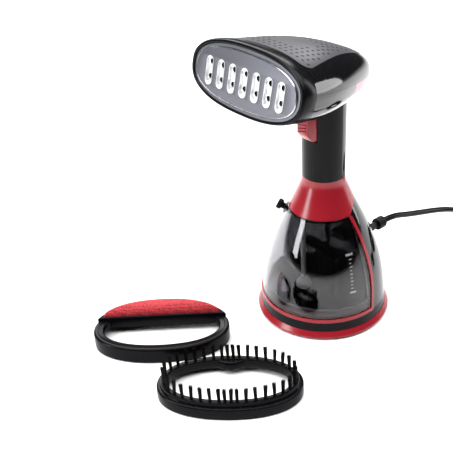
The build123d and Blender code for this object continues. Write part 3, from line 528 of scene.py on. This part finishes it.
def build_cord():
    """The whole free cord on one curve: out of the bushing, down to the floor, coiled, to the plug."""
    lead = [
        (0.0, exit_y - 1.5 * mm, exit_z),
        (0.0, exit_y + 14.0 * mm, exit_z),
        (0.3 * mm, exit_y + 35.0 * mm, 44.0 * mm),
        (0.7 * mm, exit_y + 57.0 * mm, 37.2 * mm),
        (0.6 * mm, exit_y + 80.0 * mm, 30.0 * mm),
        (-0.3 * mm, exit_y + 102.0 * mm, 21.5 * mm),
        (-2.0 * mm, exit_y + 120.0 * mm, 12.5 * mm),
        (-4.2 * mm, exit_y + 136.0 * mm, 4.6 * mm),
        (-6.4 * mm, exit_y + 150.0 * mm, cord_radius),
    ]
    plug_entry = Vector((95.2, 214.8, 13.0)) * mm
    plug_way = Vector((math.sin(math.radians(18.0)), -math.cos(math.radians(18.0)), 0))
    tail = [plug_entry - plug_way * 17.0 * mm, plug_entry + plug_way * 1.5 * mm]
    points = lead + coil_points() + [tuple(p) for p in tail]
    curve = bpy.data.curves.new("power_cord", "CURVE")
    curve.dimensions = "3D"
    line = curve.splines.new("NURBS")
    line.points.add(len(points) - 1)
    for point, place in zip(line.points, points):
        point.co = (*place, 1)
    line.order_u = 3
    line.use_endpoint_u = True
    line.resolution_u = 4
    curve.bevel_depth = cord_radius
    curve.bevel_resolution = 5
    curve.use_fill_caps = True
    curve.materials.append(cord_black)
    cord = bpy.data.objects.new("mains_cord", curve)
    bpy.context.scene.collection.objects.link(cord)
    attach(cord, "steamer")
    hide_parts("power_cord", "cord_coil", "cord_tail")


build_cord()


# ---- Studio -------------------------------------------------------------------------------------
def area_light(name, place, aim, size, power):
    """A soft box at place that looks at aim. size is (width, height)."""
    data = bpy.data.lights.new(name, "AREA")
    data.shape = "RECTANGLE"
    data.size, data.size_y = size
    data.energy = power
    lamp = bpy.data.objects.new(name, data)
    bpy.context.scene.collection.objects.link(lamp)
    lamp.location = place
    lamp.rotation_euler = (Vector(aim) - Vector(place)).to_track_quat("-Z", "Y").to_euler()


def build_studio():
    """White seamless floor, a bright surround behind the object and soft boxes above and beside it."""
    reach = 25.0
    work = bmesh.new()
    corners = ((-reach, -reach), (reach, -reach), (reach, reach), (-reach, reach))
    work.faces.new([work.verts.new((x, y, -0.0004)) for x, y in corners])
    mesh = bpy.data.meshes.new("studio_floor")
    work.to_mesh(mesh)
    work.free()
    mesh.materials.append(floor_paint())
    floor = bpy.data.objects.new("studio_floor", mesh)
    bpy.context.scene.collection.objects.link(floor)
    world = bpy.data.worlds.new("studio")
    bpy.context.scene.world = world
    world.use_nodes = True
    nodes, links = world.node_tree.nodes, world.node_tree.links
    surround = nodes["Background"]
    place = add_node(nodes, "TexCoord")
    toward = add_node(nodes, "VectorMath", "DOT_PRODUCT", {1: (0.78, -0.63, 0.1)})
    links.new(place.outputs["Generated"], toward.inputs[0])
    spread = add_node(nodes, "MapRange", values={
        "From Min": -0.5,
        "From Max": 0.7,
        "To Min": 0.85,
        "To Max": 0.38,
    })
    links.new(toward.outputs["Value"], spread.inputs["Value"])
    links.new(spread.outputs["Result"], surround.inputs["Strength"])
    area_light("key", (-0.34, -1.0, 0.75), (0, 0, 0.12), (0.3, 1.5), 19.0)
    area_light("top", (0.1, 0.1, 1.5), (0, 0, 0), (1.8, 1.8), 52.0)
    area_light("back", (-1.35, 1.1, 1.35), (0, 0, 0.25), (1.5, 0.8), 24.0)
    area_light("rim", (0.45, 1.25, 0.6), (0, 0, 0.15), (0.4, 1.2), 8.0)
    area_light("left", (-1.1, 0.2, 0.6), (0, 0, 0.12), (0.4, 1.2), 9.0)
    bpy.context.scene.view_settings.view_transform = "Standard"


build_studio()

# ---- Steam plate and bezel ----------------------------------------------------------------------
head_pitch = math.radians(13.3)
plate_power = 2.45
plate_half = Vector(((high("steam_plate").x - low("steam_plate").x) / 2, 23.9 * mm))
plate_front = Vector((0, -85.0 * mm, 244.9 * mm))
head_back = Vector((0, math.cos(head_pitch), -math.sin(head_pitch)))
head_up = Vector((0, math.sin(head_pitch), math.cos(head_pitch)))
# In the head's own frame x runs across, y up the plate and z forward, out of the plate's face.
head_frame = Matrix((Vector((1, 0, 0)), head_up, -head_back)).transposed().to_4x4()
head_frame.translation = plate_front
raised_inset = 2.6 * mm
raised_height = 1.2 * mm
slot_depth = 2.0 * mm
slot_count = 7
slot_pitch = 13.2 * mm
slot_length, slot_width = 22.0 * mm, 7.0 * mm
slot_centre = -1.15 * mm
hole_radius = 2.1 * mm
hole_spacing = 11.4 * mm
hole_lift = 1.2 * mm


def stadium(x, y, width, length, count=10):
    """Outline of an upright slot with round ends."""
    radius = width / 2
    straight = length / 2 - radius
    points = []
    for sign, start in ((1, 0.0), (-1, math.pi)):
        for k in range(count + 1):
            turn = start + math.pi * k / count
            points.append((x + radius * math.cos(turn), y + sign * straight + radius * math.sin(turn)))
    return points


def circle(x, y, radius, count=24):
    return [
        (x + radius * math.cos(2 * math.pi * k / count), y + radius * math.sin(2 * math.pi * k / count))
        for k in range(count)
    ]


def pierced_plate(name, outer, holes, back, front, bevel):
    """A flat plate from height back to front, with holes and rounded edges, in the head's frame."""
    curve = bpy.data.curves.new(name, "CURVE")
    curve.dimensions = "2D"
    curve.fill_mode = "BOTH"
    for outline in (outer, *holes):
        line = curve.splines.new("POLY")
        line.points.add(len(outline) - 1)
        for point, (x, y) in zip(line.points, outline):
            point.co = (x, y, 0, 1)
        line.use_cyclic_u = True
    curve.extrude = (front - back) / 2 - bevel
    curve.bevel_depth = bevel
    curve.bevel_resolution = 2
    curve.offset = -bevel
    mesh = evaluated_mesh(name, curve)
    mesh.transform(Matrix.Translation((0, 0, (front + back) / 2)))
    work = bmesh.new()
    work.from_mesh(mesh)
    bmesh.ops.remove_doubles(work, verts=work.verts, dist=0.01 * mm)
    bmesh.ops.transform(work, matrix=head_frame, verts=work.verts)
    return tidy_mesh(name, work, 50.0)


def slot_places():
    first = -slot_pitch * (slot_count - 1) / 2
    return [first + slot_pitch * k for k in range(slot_count)]


def hole_pair(x):
    """Outlines of the two steam holes in the slot at x."""
    middle_y = slot_centre + hole_lift
    return [circle(x, middle_y + side * hole_spacing / 2, hole_radius) for side in (-1, 1)]


def build_steam_plate():
    """Grey plate with a raised oval face, seven slots whose floors and walls take a bright metal copy as
    painted highlight, and two holes in each slot.
    """
    face = superellipse(plate_half.x - raised_inset, plate_half.y - raised_inset, plate_power, 160)
    flange = superellipse(plate_half.x, plate_half.y, plate_power, 160)
    slots = [stadium(x, slot_centre, slot_width, slot_length) for x in slot_places()]
    steam_holes = [hole for x in slot_places() for hole in hole_pair(x)]
    floor_height = raised_height - slot_depth
    top = pierced_plate("plate_face", face, slots, floor_height, raised_height, 0.35 * mm)
    base = pierced_plate("plate_base", flange, steam_holes, -3.0 * mm, floor_height, 0.1 * mm)
    rim = pierced_plate("plate_flange", flange, [face], floor_height, 0.0, 0.2 * mm)
    floors = []
    for x in slot_places():
        pocket = stadium(x, slot_centre, slot_width + 0.6 * mm, slot_length + 0.6 * mm)
        under, over = floor_height - 0.4 * mm, floor_height + 0.1 * mm
        floors.append(pierced_plate("slot_floor", pocket, hole_pair(x), under, over, 0.05 * mm))
    # The slot floors take the bright metal copy: a painted highlight.
    finishes = [plate_grey] * 3 + [slot_highlight_metal] * slot_count
    plate = joined("steam_plate_face", [top, base, rim, *floors], finishes)
    piece = add_piece("steam_plate_face", plate, None, "steamer")
    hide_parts("steam_plate")
    edge_profile = in_metres(
        ((-0.1, 0.55), (-0.1, 0.95), (0.25, 1.26), (0.75, 1.26), (0.95, 1.0), (0.95, 0.6))
    )
    lining_profile = in_metres(((-0.1, -0.75), (-0.45, 1.27), (0.05, 1.27), (0.35, -0.75)))
    # A bright metal ring on the raised face's edge: a painted highlight.
    bright = ring_sweep(
        "plate_highlight_ring",
        lambda inset: superellipse(
            plate_half.x - raised_inset - inset, plate_half.y - raised_inset - inset, plate_power, 160
        ),
        edge_profile,
        head_frame,
    )
    add_piece("plate_highlight_ring", bright, plate_edge_highlight, "steamer")
    # The slot walls take the same bright copy: a painted highlight.
    linings = []
    for x in slot_places():
        lining = ring_sweep(
            "slot_lining",
            lambda inset, x=x: stadium(x, slot_centre, slot_width - 2 * inset, slot_length - 2 * inset),
            lining_profile,
            head_frame,
        )
        linings.append(lining)
    lined = joined("slot_linings", linings, [slot_highlight_metal])
    add_piece("slot_linings", lined, slot_highlight_metal, "steamer")


build_steam_plate()


def build_bezel():
    """Black surround of the plate: a rounded front lip that runs back into the head's skin."""
    count = 200
    inner = superellipse(plate_half.x + 0.15 * mm, plate_half.y + 0.15 * mm, plate_power, count)
    half_width = (high("bezel").x - low("bezel").x) / 2
    top, bottom = 27.5 * mm, -26.5 * mm
    lift = (top + bottom) / 2
    outer = [(x, y + lift) for x, y in superellipse(half_width, (top - bottom) / 2, plate_power, count)]
    profile = (  # (share of the way from the plate to the skin, height forward in mm)
        (0.00, -3.5),
        (0.00, -0.2),
        (0.04, 0.45),
        (0.16, 0.95),
        (0.38, 1.15),
        (0.62, 0.95),
        (0.82, 0.30),
        (0.93, -0.60),
        (0.985, -2.2),
        (1.00, -4.5),
        (1.00, -11.6),
        (0.96, -11.85),
        (0.55, -11.85),
        (0.50, -11.4),
        (0.50, -5.0),
    )
    loops = []
    for share, height in profile:
        loops.append(
            [
                head_frame @ Vector((a + (c - a) * share, b + (d - b) * share, height * mm))
                for (a, b), (c, d) in zip(inner, outer)
            ]
        )
    mesh = loops_mesh("bezel_lip", loops, sharp=60.0)
    piece = add_piece("bezel_lip", mesh, black_satin, "steamer")
    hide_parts("bezel")


build_bezel()

# ---- Perforated cover ---------------------------------------------------------------------------
head_power = 2.45
head_length = 128.0 * mm
head_half_width = 62.5 * mm
# The head's sections: (share of its length, share of its half width, top, bottom in mm).
head_sections = (
    (0.085, 1.000, 27.5, -26.5),
    (0.310, 0.900, 28.5, -26.0),
    (0.545, 0.735, 28.5, -21.5),
    (0.780, 0.520, 24.0, -16.0),
    (0.920, 0.350, 18.5, -12.5),
    (1.000, 0.200, 12.5, -7.0),
)


def smooth_through(xs, ys):
    """A curve y(x) through the points whose slope and curvature have no jumps."""
    x, y = np.array(xs, float), np.array(ys, float)
    gap = np.diff(x)
    system = np.eye(len(x))
    load = np.zeros(len(x))
    for i in range(1, len(x) - 1):
        system[i, i - 1 : i + 2] = gap[i - 1], 2 * (gap[i - 1] + gap[i]), gap[i]
        load[i] = 6 * ((y[i + 1] - y[i]) / gap[i] - (y[i] - y[i - 1]) / gap[i - 1])
    bend = np.linalg.solve(system, load)

    def value(at):
        i = min(max(bisect.bisect_right(xs, at) - 1, 0), len(xs) - 2)
        a, b = (x[i + 1] - at) / gap[i], (at - x[i]) / gap[i]
        curve = ((a**3 - a) * bend[i] + (b**3 - b) * bend[i + 1]) * gap[i] ** 2 / 6
        return float(a * y[i] + b * y[i + 1] + curve)

    return value


section_s = [share * head_length for share, _, _, _ in head_sections]
head_width_at = smooth_through(section_s, [w * head_half_width for _, w, _, _ in head_sections])
head_top_at = smooth_through(section_s, [t * mm for _, _, t, _ in head_sections])
head_bottom_at = smooth_through(section_s, [b * mm for _, _, _, b in head_sections])


def head_surface(x, s, lift=0.0):
    """A point on the head's upper skin, x across and s back from the plate's face."""
    top, bottom = head_top_at(s), head_bottom_at(s)
    share = min(abs(x) / head_width_at(s), 0.999)
    u = (top + bottom) / 2 + (top - bottom) / 2 * (1 - share**head_power) ** (1 / head_power)
    return head_frame @ Vector((x, u + lift, -s))


def cover_skin():
    """A finder that drops a point of the head's frame onto the cover's outer skin."""
    cover = frame["nodes"]["head_cover"]
    corners = [cover.matrix_world @ v.co for v in cover.data.vertices]
    tree = BVHTree.FromPolygons(corners, [tuple(p.vertices) for p in cover.data.polygons])

    def find(x, s):
        above = head_surface(x, s, 15.0 * mm)
        place, normal, _, _ = tree.ray_cast(above, -head_up, 40.0 * mm)
        return place, normal

    return find


def build_vent_holes():
    """Rows of small vent holes in the cover, each a shallow well painted black as shade, round a plain
    hexagon.
    """
    find = cover_skin()
    pitch_across, pitch_along = 6.0 * mm, 5.6 * mm
    first_row, rows = 20.0 * mm, 17
    hole_reach, hole_sides = 1.35 * mm, 10
    margin = 3.6 * mm
    blank_centre = 49.0 * mm
    work = bmesh.new()
    for row in range(rows):
        s = first_row + row * pitch_along
        for column in range(-7, 8):
            x = column * pitch_across
            on_cover = all(
                find(x + dx * margin, s + ds * margin)[0] is not None
                for dx, ds in ((1, 0), (-1, 0), (0, 1), (0, -1))
            )
            from_blank = abs(s - blank_centre)
            in_blank = from_blank < 13 * mm and abs(x) < 20 * mm - 0.45 * from_blank
            if in_blank or not on_cover:
                continue
            centre, normal = find(x, s)
            if normal.z < 0:
                normal = -normal
            ring = []
            for k in range(hole_sides):
                turn = 2 * math.pi * k / hole_sides
                place, _ = find(x + hole_reach * math.cos(turn), s + hole_reach * math.sin(turn))
                ring.append(place + normal * 0.06 * mm)
            outer = [work.verts.new(p) for p in ring]
            inner = [work.verts.new(centre + (p - centre) * 0.86 + normal * 0.02 * mm) for p in ring]
            for k in range(hole_sides):
                n = (k + 1) % hole_sides
                work.faces.new((outer[k], outer[n], inner[n], inner[k]))
            work.faces.new(inner)
    mesh = tidy_mesh("vent_holes", work, 30.0)
    # The wells are painted shade, black where the open holes would be dark.
    add_piece("vent_holes", mesh, vent_shade_black, "steamer")


build_vent_holes()


# ---- Tank fittings ------------------------------------------------------------------------------
filler_z = 97.5 * mm
print_lift = 0.06 * mm
base_top = high("base_ring").z
neck_z = high("collar").z
handle_radius = high("handle_rear").y
body_radius = high("base_band").x
# How the lower body narrows: (share of the way up, share of the way out to its foot).
belly = (
    (0.0, 1.0),
    (0.14, 0.960),
    (0.319, 0.873),
    (0.506, 0.686),
    (0.685, 0.430),
    (0.833, 0.185),
    (0.911, 0.071),
    (1.0, 0.0),
)
swell = smooth_through([h for h, _ in belly], [r for _, r in belly])


def skin_radius(z):
    """Radius of the lower body's skin at height z."""
    return handle_radius + (body_radius - handle_radius) * swell((z - base_top) / (neck_z - base_top))


def on_skin(turn, z, proud=0.0):
    """A point on the skin, turn radians round from the front towards +X, at height z."""
    r = skin_radius(z) + proud
    return Vector((r * math.sin(turn), -r * math.cos(turn), z))


def wrapped_text(words, size, turn, z):
    """Flat lettering laid on the tank's skin, as triangles."""
    curve = bpy.data.curves.new(words, "FONT")
    curve.body = words
    curve.size = size
    curve.align_x = "LEFT"
    curve.align_y = "CENTER"
    mesh = evaluated_mesh(words, curve)
    for vertex in mesh.vertices:
        at = z + vertex.co.y
        vertex.co = on_skin(turn + vertex.co.x / skin_radius(at), at, print_lift)
    return mesh


def build_level_scale():
    """Printed level marks on the tank: nine ticks between generic MAX and MIN words."""
    top_z, bottom_z = 75.8 * mm, 42.6 * mm
    top_turn, bottom_turn = math.radians(73.0), math.radians(71.5)
    letter_size = 3.2 * mm
    ticks = 9
    work = bmesh.new()
    for k in range(ticks):
        share = k / (ticks - 1)
        z = top_z - 4.0 * mm + (bottom_z - top_z + 8.0 * mm) * share
        turn = top_turn + (bottom_turn - top_turn) * share
        wide = (2.0 if k % 2 else 2.8) * mm / skin_radius(z)
        corners = ((0, -0.17), (wide, -0.17), (wide, 0.17), (0, 0.17))
        work.faces.new([work.verts.new(on_skin(turn + a, z + b * mm, print_lift)) for a, b in corners])
    marks = bpy.data.meshes.new("ticks")
    work.to_mesh(marks)
    work.free()
    words = [
        wrapped_text("MAX", letter_size, top_turn - math.radians(3.0), top_z),
        wrapped_text("MIN", letter_size, bottom_turn - math.radians(1.0), bottom_z),
    ]
    mesh = joined("level_scale", [marks, *words], [scale_print])
    add_piece("level_scale", mesh, scale_print, "steamer")


build_level_scale()


def build_tank_foot():
    """The tank's thick moulded foot, seen through the clear wall, with a pale ring round its top that is a
    painted highlight.
    """
    bottom, top = low("water_tank").z + 0.6 * mm, low("water_tank").z + 8.5 * mm
    inset = 2.7 * mm
    reach = math.radians(98.0)
    count = 96
    for name, z0, z1, material in (
        ("tank_foot_wall", bottom, top, tank_foot),
        # The pale ring is a painted highlight along the foot's top.
        ("tank_foot_highlight_ring", top + 0.1 * mm, top + 1.1 * mm, tank_foot_highlight_ring),
    ):
        rows = []
        for z, back in ((z0, 0.0), (z1, 0.0), (z1, 1.6 * mm), (z0, 1.6 * mm)):
            rows.append(
                [on_skin(reach * (2 * k / count - 1), z, -inset - back) for k in range(count + 1)]
            )
        work = bmesh.new()
        grid = [[work.verts.new(p) for p in row] for row in rows]
        for a, b in zip(grid, grid[1:] + grid[:1]):
            for k in range(count):
                work.faces.new((a[k], a[k + 1], b[k + 1], b[k]))
        for k in (0, count):
            work.faces.new([row[k] for row in grid])
        add_piece(name, tidy_mesh(name, work), material, "steamer")


build_tank_foot()


# ---- Filler plug --------------------------------------------------------------------------------
def build_filler_plug():
    """Ribbed rubber knob on a short neck."""
    slide = next(j for j in frame["joints"] if j["name"] == "filler_plug_pull")
    way = Vector(slide["axis"]).normalized()
    turn = math.atan2(way.x, -way.y)
    place = way.to_track_quat("Z", "Y").to_matrix().to_4x4()
    place.translation = on_skin(turn, filler_z)
    profile = (
        (0.01, -6.9),
        (3.5, -6.9),
        (3.8, -6.4),
        (3.8, 0.6),
        (3.0, 0.9),
        (2.9, 3.4),
        (4.1, 3.7),
        (4.7, 4.2),
        (4.8, 4.8),
        (4.8, 7.2),
        (4.5, 7.9),
        (3.8, 8.25),
        (0.01, 8.3),
    )
    count = 72
    loops = []
    for r, z in profile:
        loop = []
        for k in range(count):
            a = 2 * math.pi * k / count
            grip = 0.22 * (1 + math.cos(18 * a)) / 2 if 4.0 < z < 7.8 and r > 4.4 else 0.0
            reach = (r - grip) * mm
            loop.append(place @ Vector((reach * math.cos(a), reach * math.sin(a), z * mm)))
        loops.append(loop)
    mesh = loops_mesh("filler_plug_knob", loops, closed=False, capped=True, sharp=35.0)
    piece = add_piece("filler_plug_knob", mesh, rubber_black, "filler_plug")
    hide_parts("filler_plug")


build_filler_plug()


# ---- Trigger ------------------------------------------------------------------------------------
def bevelled_block(name, rows, width, segments=3):
    """A skin through rows of points with its corners rounded by width."""
    mesh = loops_mesh(name, rows, closed=False, capped=True, sharp=180.0)

    def round_corners(holder):
        rounding = holder.modifiers.new("rounding", "BEVEL")
        rounding.width = width
        rounding.segments = segments
        rounding.limit_method = "ANGLE"
        rounding.angle_limit = math.radians(20)
        rounding.harden_normals = False

    result = evaluated_mesh(name, mesh, round_corners)
    result.shade_smooth()
    result.set_sharp_from_angle(angle=math.radians(50))
    return result


def build_trigger():
    """Red finger trigger with slanted grip ribs on its face."""
    lo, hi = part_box("trigger")
    face_y, back_y = lo.y, hi.y
    side = (hi.x - lo.x) / 2
    face_half = 6.0 * mm
    skin_y = -handle_radius + 2 * mm
    outline = (  # (y, z, half width) down the front and up the back
        (face_y + 1.2 * mm, hi.z, face_half),
        (face_y + 0.7 * mm, lo.z + 7.0 * mm, face_half),
        (face_y + 5.8 * mm, lo.z, face_half + 2.0 * mm),
        (-13.5 * mm, lo.z, side),
        (-9.4 * mm, lo.z + 8 * mm, side),
        (-9.4 * mm, lo.z + 17 * mm, side),
        (back_y, lo.z + 22 * mm, side),
        (back_y, hi.z, side),
        (skin_y, hi.z, side),
    )
    rows = [[Vector((k * half, y, z)) for y, z, half in outline] for k in (-1, 1)]
    body = bevelled_block("trigger_body", rows, 0.9 * mm)
    ribs = []
    for k in range(6):
        z = lo.z + 9.0 * mm + 2.9 * mm * k
        y = face_y + 0.75 * mm + 0.5 * mm * k / 6
        rib = []
        for x, rise in ((-4.6 * mm, -1.2 * mm), (4.6 * mm, 1.2 * mm)):
            rib.append(
                [
                    Vector((x, y + 0.5 * mm, z + rise - 0.8 * mm)),
                    Vector((x, y - 0.7 * mm, z + rise - 0.6 * mm)),
                    Vector((x, y - 0.95 * mm, z + rise)),
                    Vector((x, y - 0.7 * mm, z + rise + 0.6 * mm)),
                    Vector((x, y + 0.5 * mm, z + rise + 0.8 * mm)),
                ]
            )
        ribs.append(loops_mesh("rib", rib, closed=False, capped=True, sharp=60.0))
    mesh = joined("trigger_grip", [body, *ribs], [red_gloss])
    piece = add_piece("trigger_grip", mesh, red_gloss, "trigger")
    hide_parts("trigger")


build_trigger()

# ---- Clip-on brushes ----------------------------------------------------------------------------
brush_half = (60.5 * mm, 33.5 * mm)
brush_power = 2.15
lint_height = 14.5 * mm
pad_chord = 13.0 * mm
rim = 2.4 * mm
tub_gap = 0.4 * mm
band = 9.0 * mm
# Sections of the two rings, (inset from the outline, height) in mm: a skirt with a ledge inside its top.
lint_profile = (
    (0.6, 0.0),
    (0.1, 0.4),
    (0.0, 1.2),
    (0.0, 12.6),
    (0.35, 13.7),
    (1.1, 14.3),
    (2.1, 14.5),
    (3.4, 14.45),
    (4.1, 14.1),
    (4.5, 13.9),
    (7.6, 13.9),
    (8.5, 13.6),
    (9.0, 12.8),
    (9.0, 7.3),
    (8.6, 6.6),
    (3.4, 6.5),
    (2.7, 6.0),
    (2.6, 0.8),
    (2.2, 0.0),
)
bristle_profile = (
    (0.6, 0.0),
    (0.1, 0.4),
    (0.0, 1.2),
    (0.0, 9.0),
    (0.3, 9.9),
    (1.0, 10.4),
    (1.9, 10.5),
    (3.0, 10.5),
    (3.4, 10.9),
    (3.5, 13.2),
    (3.9, 13.95),
    (4.6, 14.2),
    (7.9, 14.2),
    (8.7, 13.9),
    (9.0, 13.2),
    (9.0, 5.8),
    (8.6, 5.05),
    (3.4, 5.0),
    (2.7, 4.6),
    (2.6, 0.8),
    (2.2, 0.0),
)


def lying(centre, turn_degrees):
    """Where a brush lies on the floor, its long axis turned from +X."""
    return Matrix.Translation((centre.x, centre.y, 0)) @ Matrix.Rotation(math.radians(turn_degrees), 4, "Z")


def brush_outline(inset, count=160):
    return superellipse(brush_half[0] - inset, brush_half[1] - inset, brush_power, count)


lint_place = lying(middle("lint_frame"), 50.0)
bristle_place = lying(middle("bristle_frame"), 47.0)


def half_moon(inset, count=60):
    """Outline of the tub that fills the brush's back, moved in by inset."""
    a, b = brush_half[0] - tub_gap - inset, brush_half[1] - tub_gap - inset
    floor = pad_chord - rim + inset
    end = math.asin(min((floor / b) ** (brush_power / 2), 1.0))
    points = []
    for k in range(count + 1):
        turn = end + (math.pi - 2 * end) * k / count
        c, s = math.cos(turn), math.sin(turn)
        points.append((a * math.copysign(abs(c) ** (2 / brush_power), c), b * abs(s) ** (2 / brush_power)))
    left, right = points[-1][0], points[0][0]
    for k in range(1, count):
        points.append((left + (right - left) * k / count, floor))
    return points


def build_lint_frame():
    """Oval frame with an open front half, and a raised tub round the pad at its back."""
    ring = ring_sweep("lint_ring", brush_outline, in_metres(lint_profile), lint_place)
    tub_top = high("lint_frame").z
    tub_profile = [
        (0.0, 7.0 * mm),
        (0.0, tub_top - 1.2 * mm),
        (0.4 * mm, tub_top - 0.3 * mm),
        (1.1 * mm, tub_top),
        (1.8 * mm, tub_top - 0.2 * mm),
        (rim, tub_top - 0.9 * mm),
        (rim, tub_top - 2.4 * mm),
        (rim + 0.3 * mm, 7.0 * mm),
    ]
    tub = ring_sweep("lint_tub", half_moon, tub_profile, lint_place)
    deck = [
        [lint_place @ Vector((x, y, z)) for x, y in half_moon(0.3 * mm)]
        for z in (6.5 * mm, lint_height - 0.3 * mm)
    ]
    floor = loops_mesh("lint_deck", deck, closed=False, capped=True)
    mesh = joined("lint_brush_frame", [ring, tub, floor], [brush_black])
    piece = add_piece("lint_brush_frame", mesh, brush_black, "lint_brush")
    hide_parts("lint_frame")


build_lint_frame()


def build_lint_pad():
    """Crowned pad of lint fabric, its edge tucked into the tub."""
    base = lint_height - 0.2 * mm
    crown = high("lint_pad").z + 1.5 * mm - base
    layers = 14
    loops = []
    inner = rim + 0.15 * mm
    deepest = 8.0 * mm
    random.seed(11)
    for k in range(layers + 1):
        share = k / layers
        inset = inner + deepest * (1 - math.cos(share * math.pi / 2))
        rise = base + crown * math.sin(share * math.pi / 2) ** 0.55
        loop = []
        for x, y in half_moon(inset):
            bow = 1.0 - 0.25 * (x / brush_half[0]) ** 4
            ripple = 0.12 * mm * math.sin(x * 900 + y * 400) * share
            loop.append(lint_place @ Vector((x, y, base + (rise - base) * bow + ripple)))
        loops.append(loop)
    mesh = loops_mesh("lint_pad_cloth", loops, closed=False, capped=True, sharp=180.0)
    piece = add_piece("lint_pad_cloth", mesh, fabric_red, "lint_brush")
    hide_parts("lint_pad")


build_lint_pad()


def build_bristle_frame():
    """Oval frame with a thumb latch inside its back edge."""
    ring = ring_sweep("bristle_ring", brush_outline, in_metres(bristle_profile), bristle_place)
    tab_half, tab_depth = 18.0 * mm, 4.5 * mm
    inner_edge = brush_half[1] - band
    root = inner_edge + 3 * mm
    count = 24
    outline = []
    for k in range(count + 1):
        x = -tab_half + 2 * tab_half * k / count
        bulge = (1 + math.cos(math.pi * x / tab_half)) / 2
        outline.append((x, inner_edge + 1.0 * mm - (tab_depth + 1.0 * mm) * bulge))
    outline += [(tab_half, root), (-tab_half, root)]
    levels = (  # (height, share of the tab's reach)
        (5.1 * mm, 0.9),
        (5.6 * mm, 0.98),
        (7.0 * mm, 1.0),
        (11.6 * mm, 0.98),
        (12.8 * mm, 0.88),
        (13.2 * mm, 0.7),
    )
    rows = [
        [bristle_place @ Vector((x * (0.5 + grow / 2), root + (y - root) * grow, z)) for x, y in outline]
        for z, grow in levels
    ]
    tab = loops_mesh("bristle_tab", rows, closed=False, capped=True, sharp=50.0)
    mesh = joined("bristle_brush_frame", [ring, tab], [brush_black])
    piece = add_piece("bristle_brush_frame", mesh, brush_black, "bristle_brush")
    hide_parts("bristle_frame")


build_bristle_frame()

golden_angle = 2.399963
bristles_per_tuft = 19
tuft_inset = 6.3 * mm
tuft_offsets = (2.4, 7.2, 14.4, 22.0, 29.6, 37.0, 43.6, 49.2, 53.2)


def tuft_places():
    """Where each tuft stands on the ring, in the brush's own frame."""
    along_half, across_half = brush_half[0] - tuft_inset, brush_half[1] - tuft_inset
    places = [(along_half, 0.0), (-along_half, 0.0)]
    for offset in tuft_offsets:
        along = offset * mm
        across = across_half * (1 - (along / along_half) ** brush_power) ** (1 / brush_power)
        places += [(sx * along, sy * across) for sx in (-1, 1) for sy in (-1, 1)]
    return places


def add_bristle(work, foot, tip, radius):
    """One nylon bristle: a thin tapered bar of five sides."""
    way = (tip - foot).normalized()
    side = way.orthogonal().normalized()
    other = way.cross(side)
    sides = 5
    rings = []
    for centre, r in ((foot, radius), (foot + (tip - foot) * 0.92, radius * 0.9), (tip, radius * 0.45)):
        ring = []
        for k in range(sides):
            a = 2 * math.pi * k / sides
            ring.append(work.verts.new(centre + (side * math.cos(a) + other * math.sin(a)) * r))
        rings.append(ring)
    for lower, upper in zip(rings, rings[1:]):
        for k in range(sides):
            n = (k + 1) % sides
            work.faces.new((lower[k], lower[n], upper[n], upper[k]))
    work.faces.new(rings[0][::-1])
    work.faces.new(rings[-1])


def build_bristles():
    """Tufts of fine bristles set in the ring, splaying a little towards their tips."""
    random.seed(7)
    work = bmesh.new()
    foot_z = 13.6 * mm
    tip_z = high("bristles").z
    for x, y in tuft_places():
        lean = Vector((random.uniform(-0.5, 0.5), random.uniform(-0.5, 0.5), 0)) * mm
        for k in range(bristles_per_tuft):
            reach = 1.1 * mm * math.sqrt((k + 0.5) / bristles_per_tuft)
            turn = k * golden_angle
            foot = Vector((x + reach * math.cos(turn), y + reach * math.sin(turn), foot_z))
            splay = 1.45 + random.uniform(-0.1, 0.25)
            tip = Vector((x + splay * reach * math.cos(turn), y + splay * reach * math.sin(turn), 0))
            tip += lean + Vector((0, 0, tip_z - random.uniform(0, 0.8) * mm))
            add_bristle(work, bristle_place @ foot, bristle_place @ tip, 0.3 * mm)
    mesh = tidy_mesh("bristle_tufts", work, 60.0)
    piece = add_piece("bristle_tufts", mesh, bristle_black, "bristle_brush")
    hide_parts("bristles")


build_bristles()
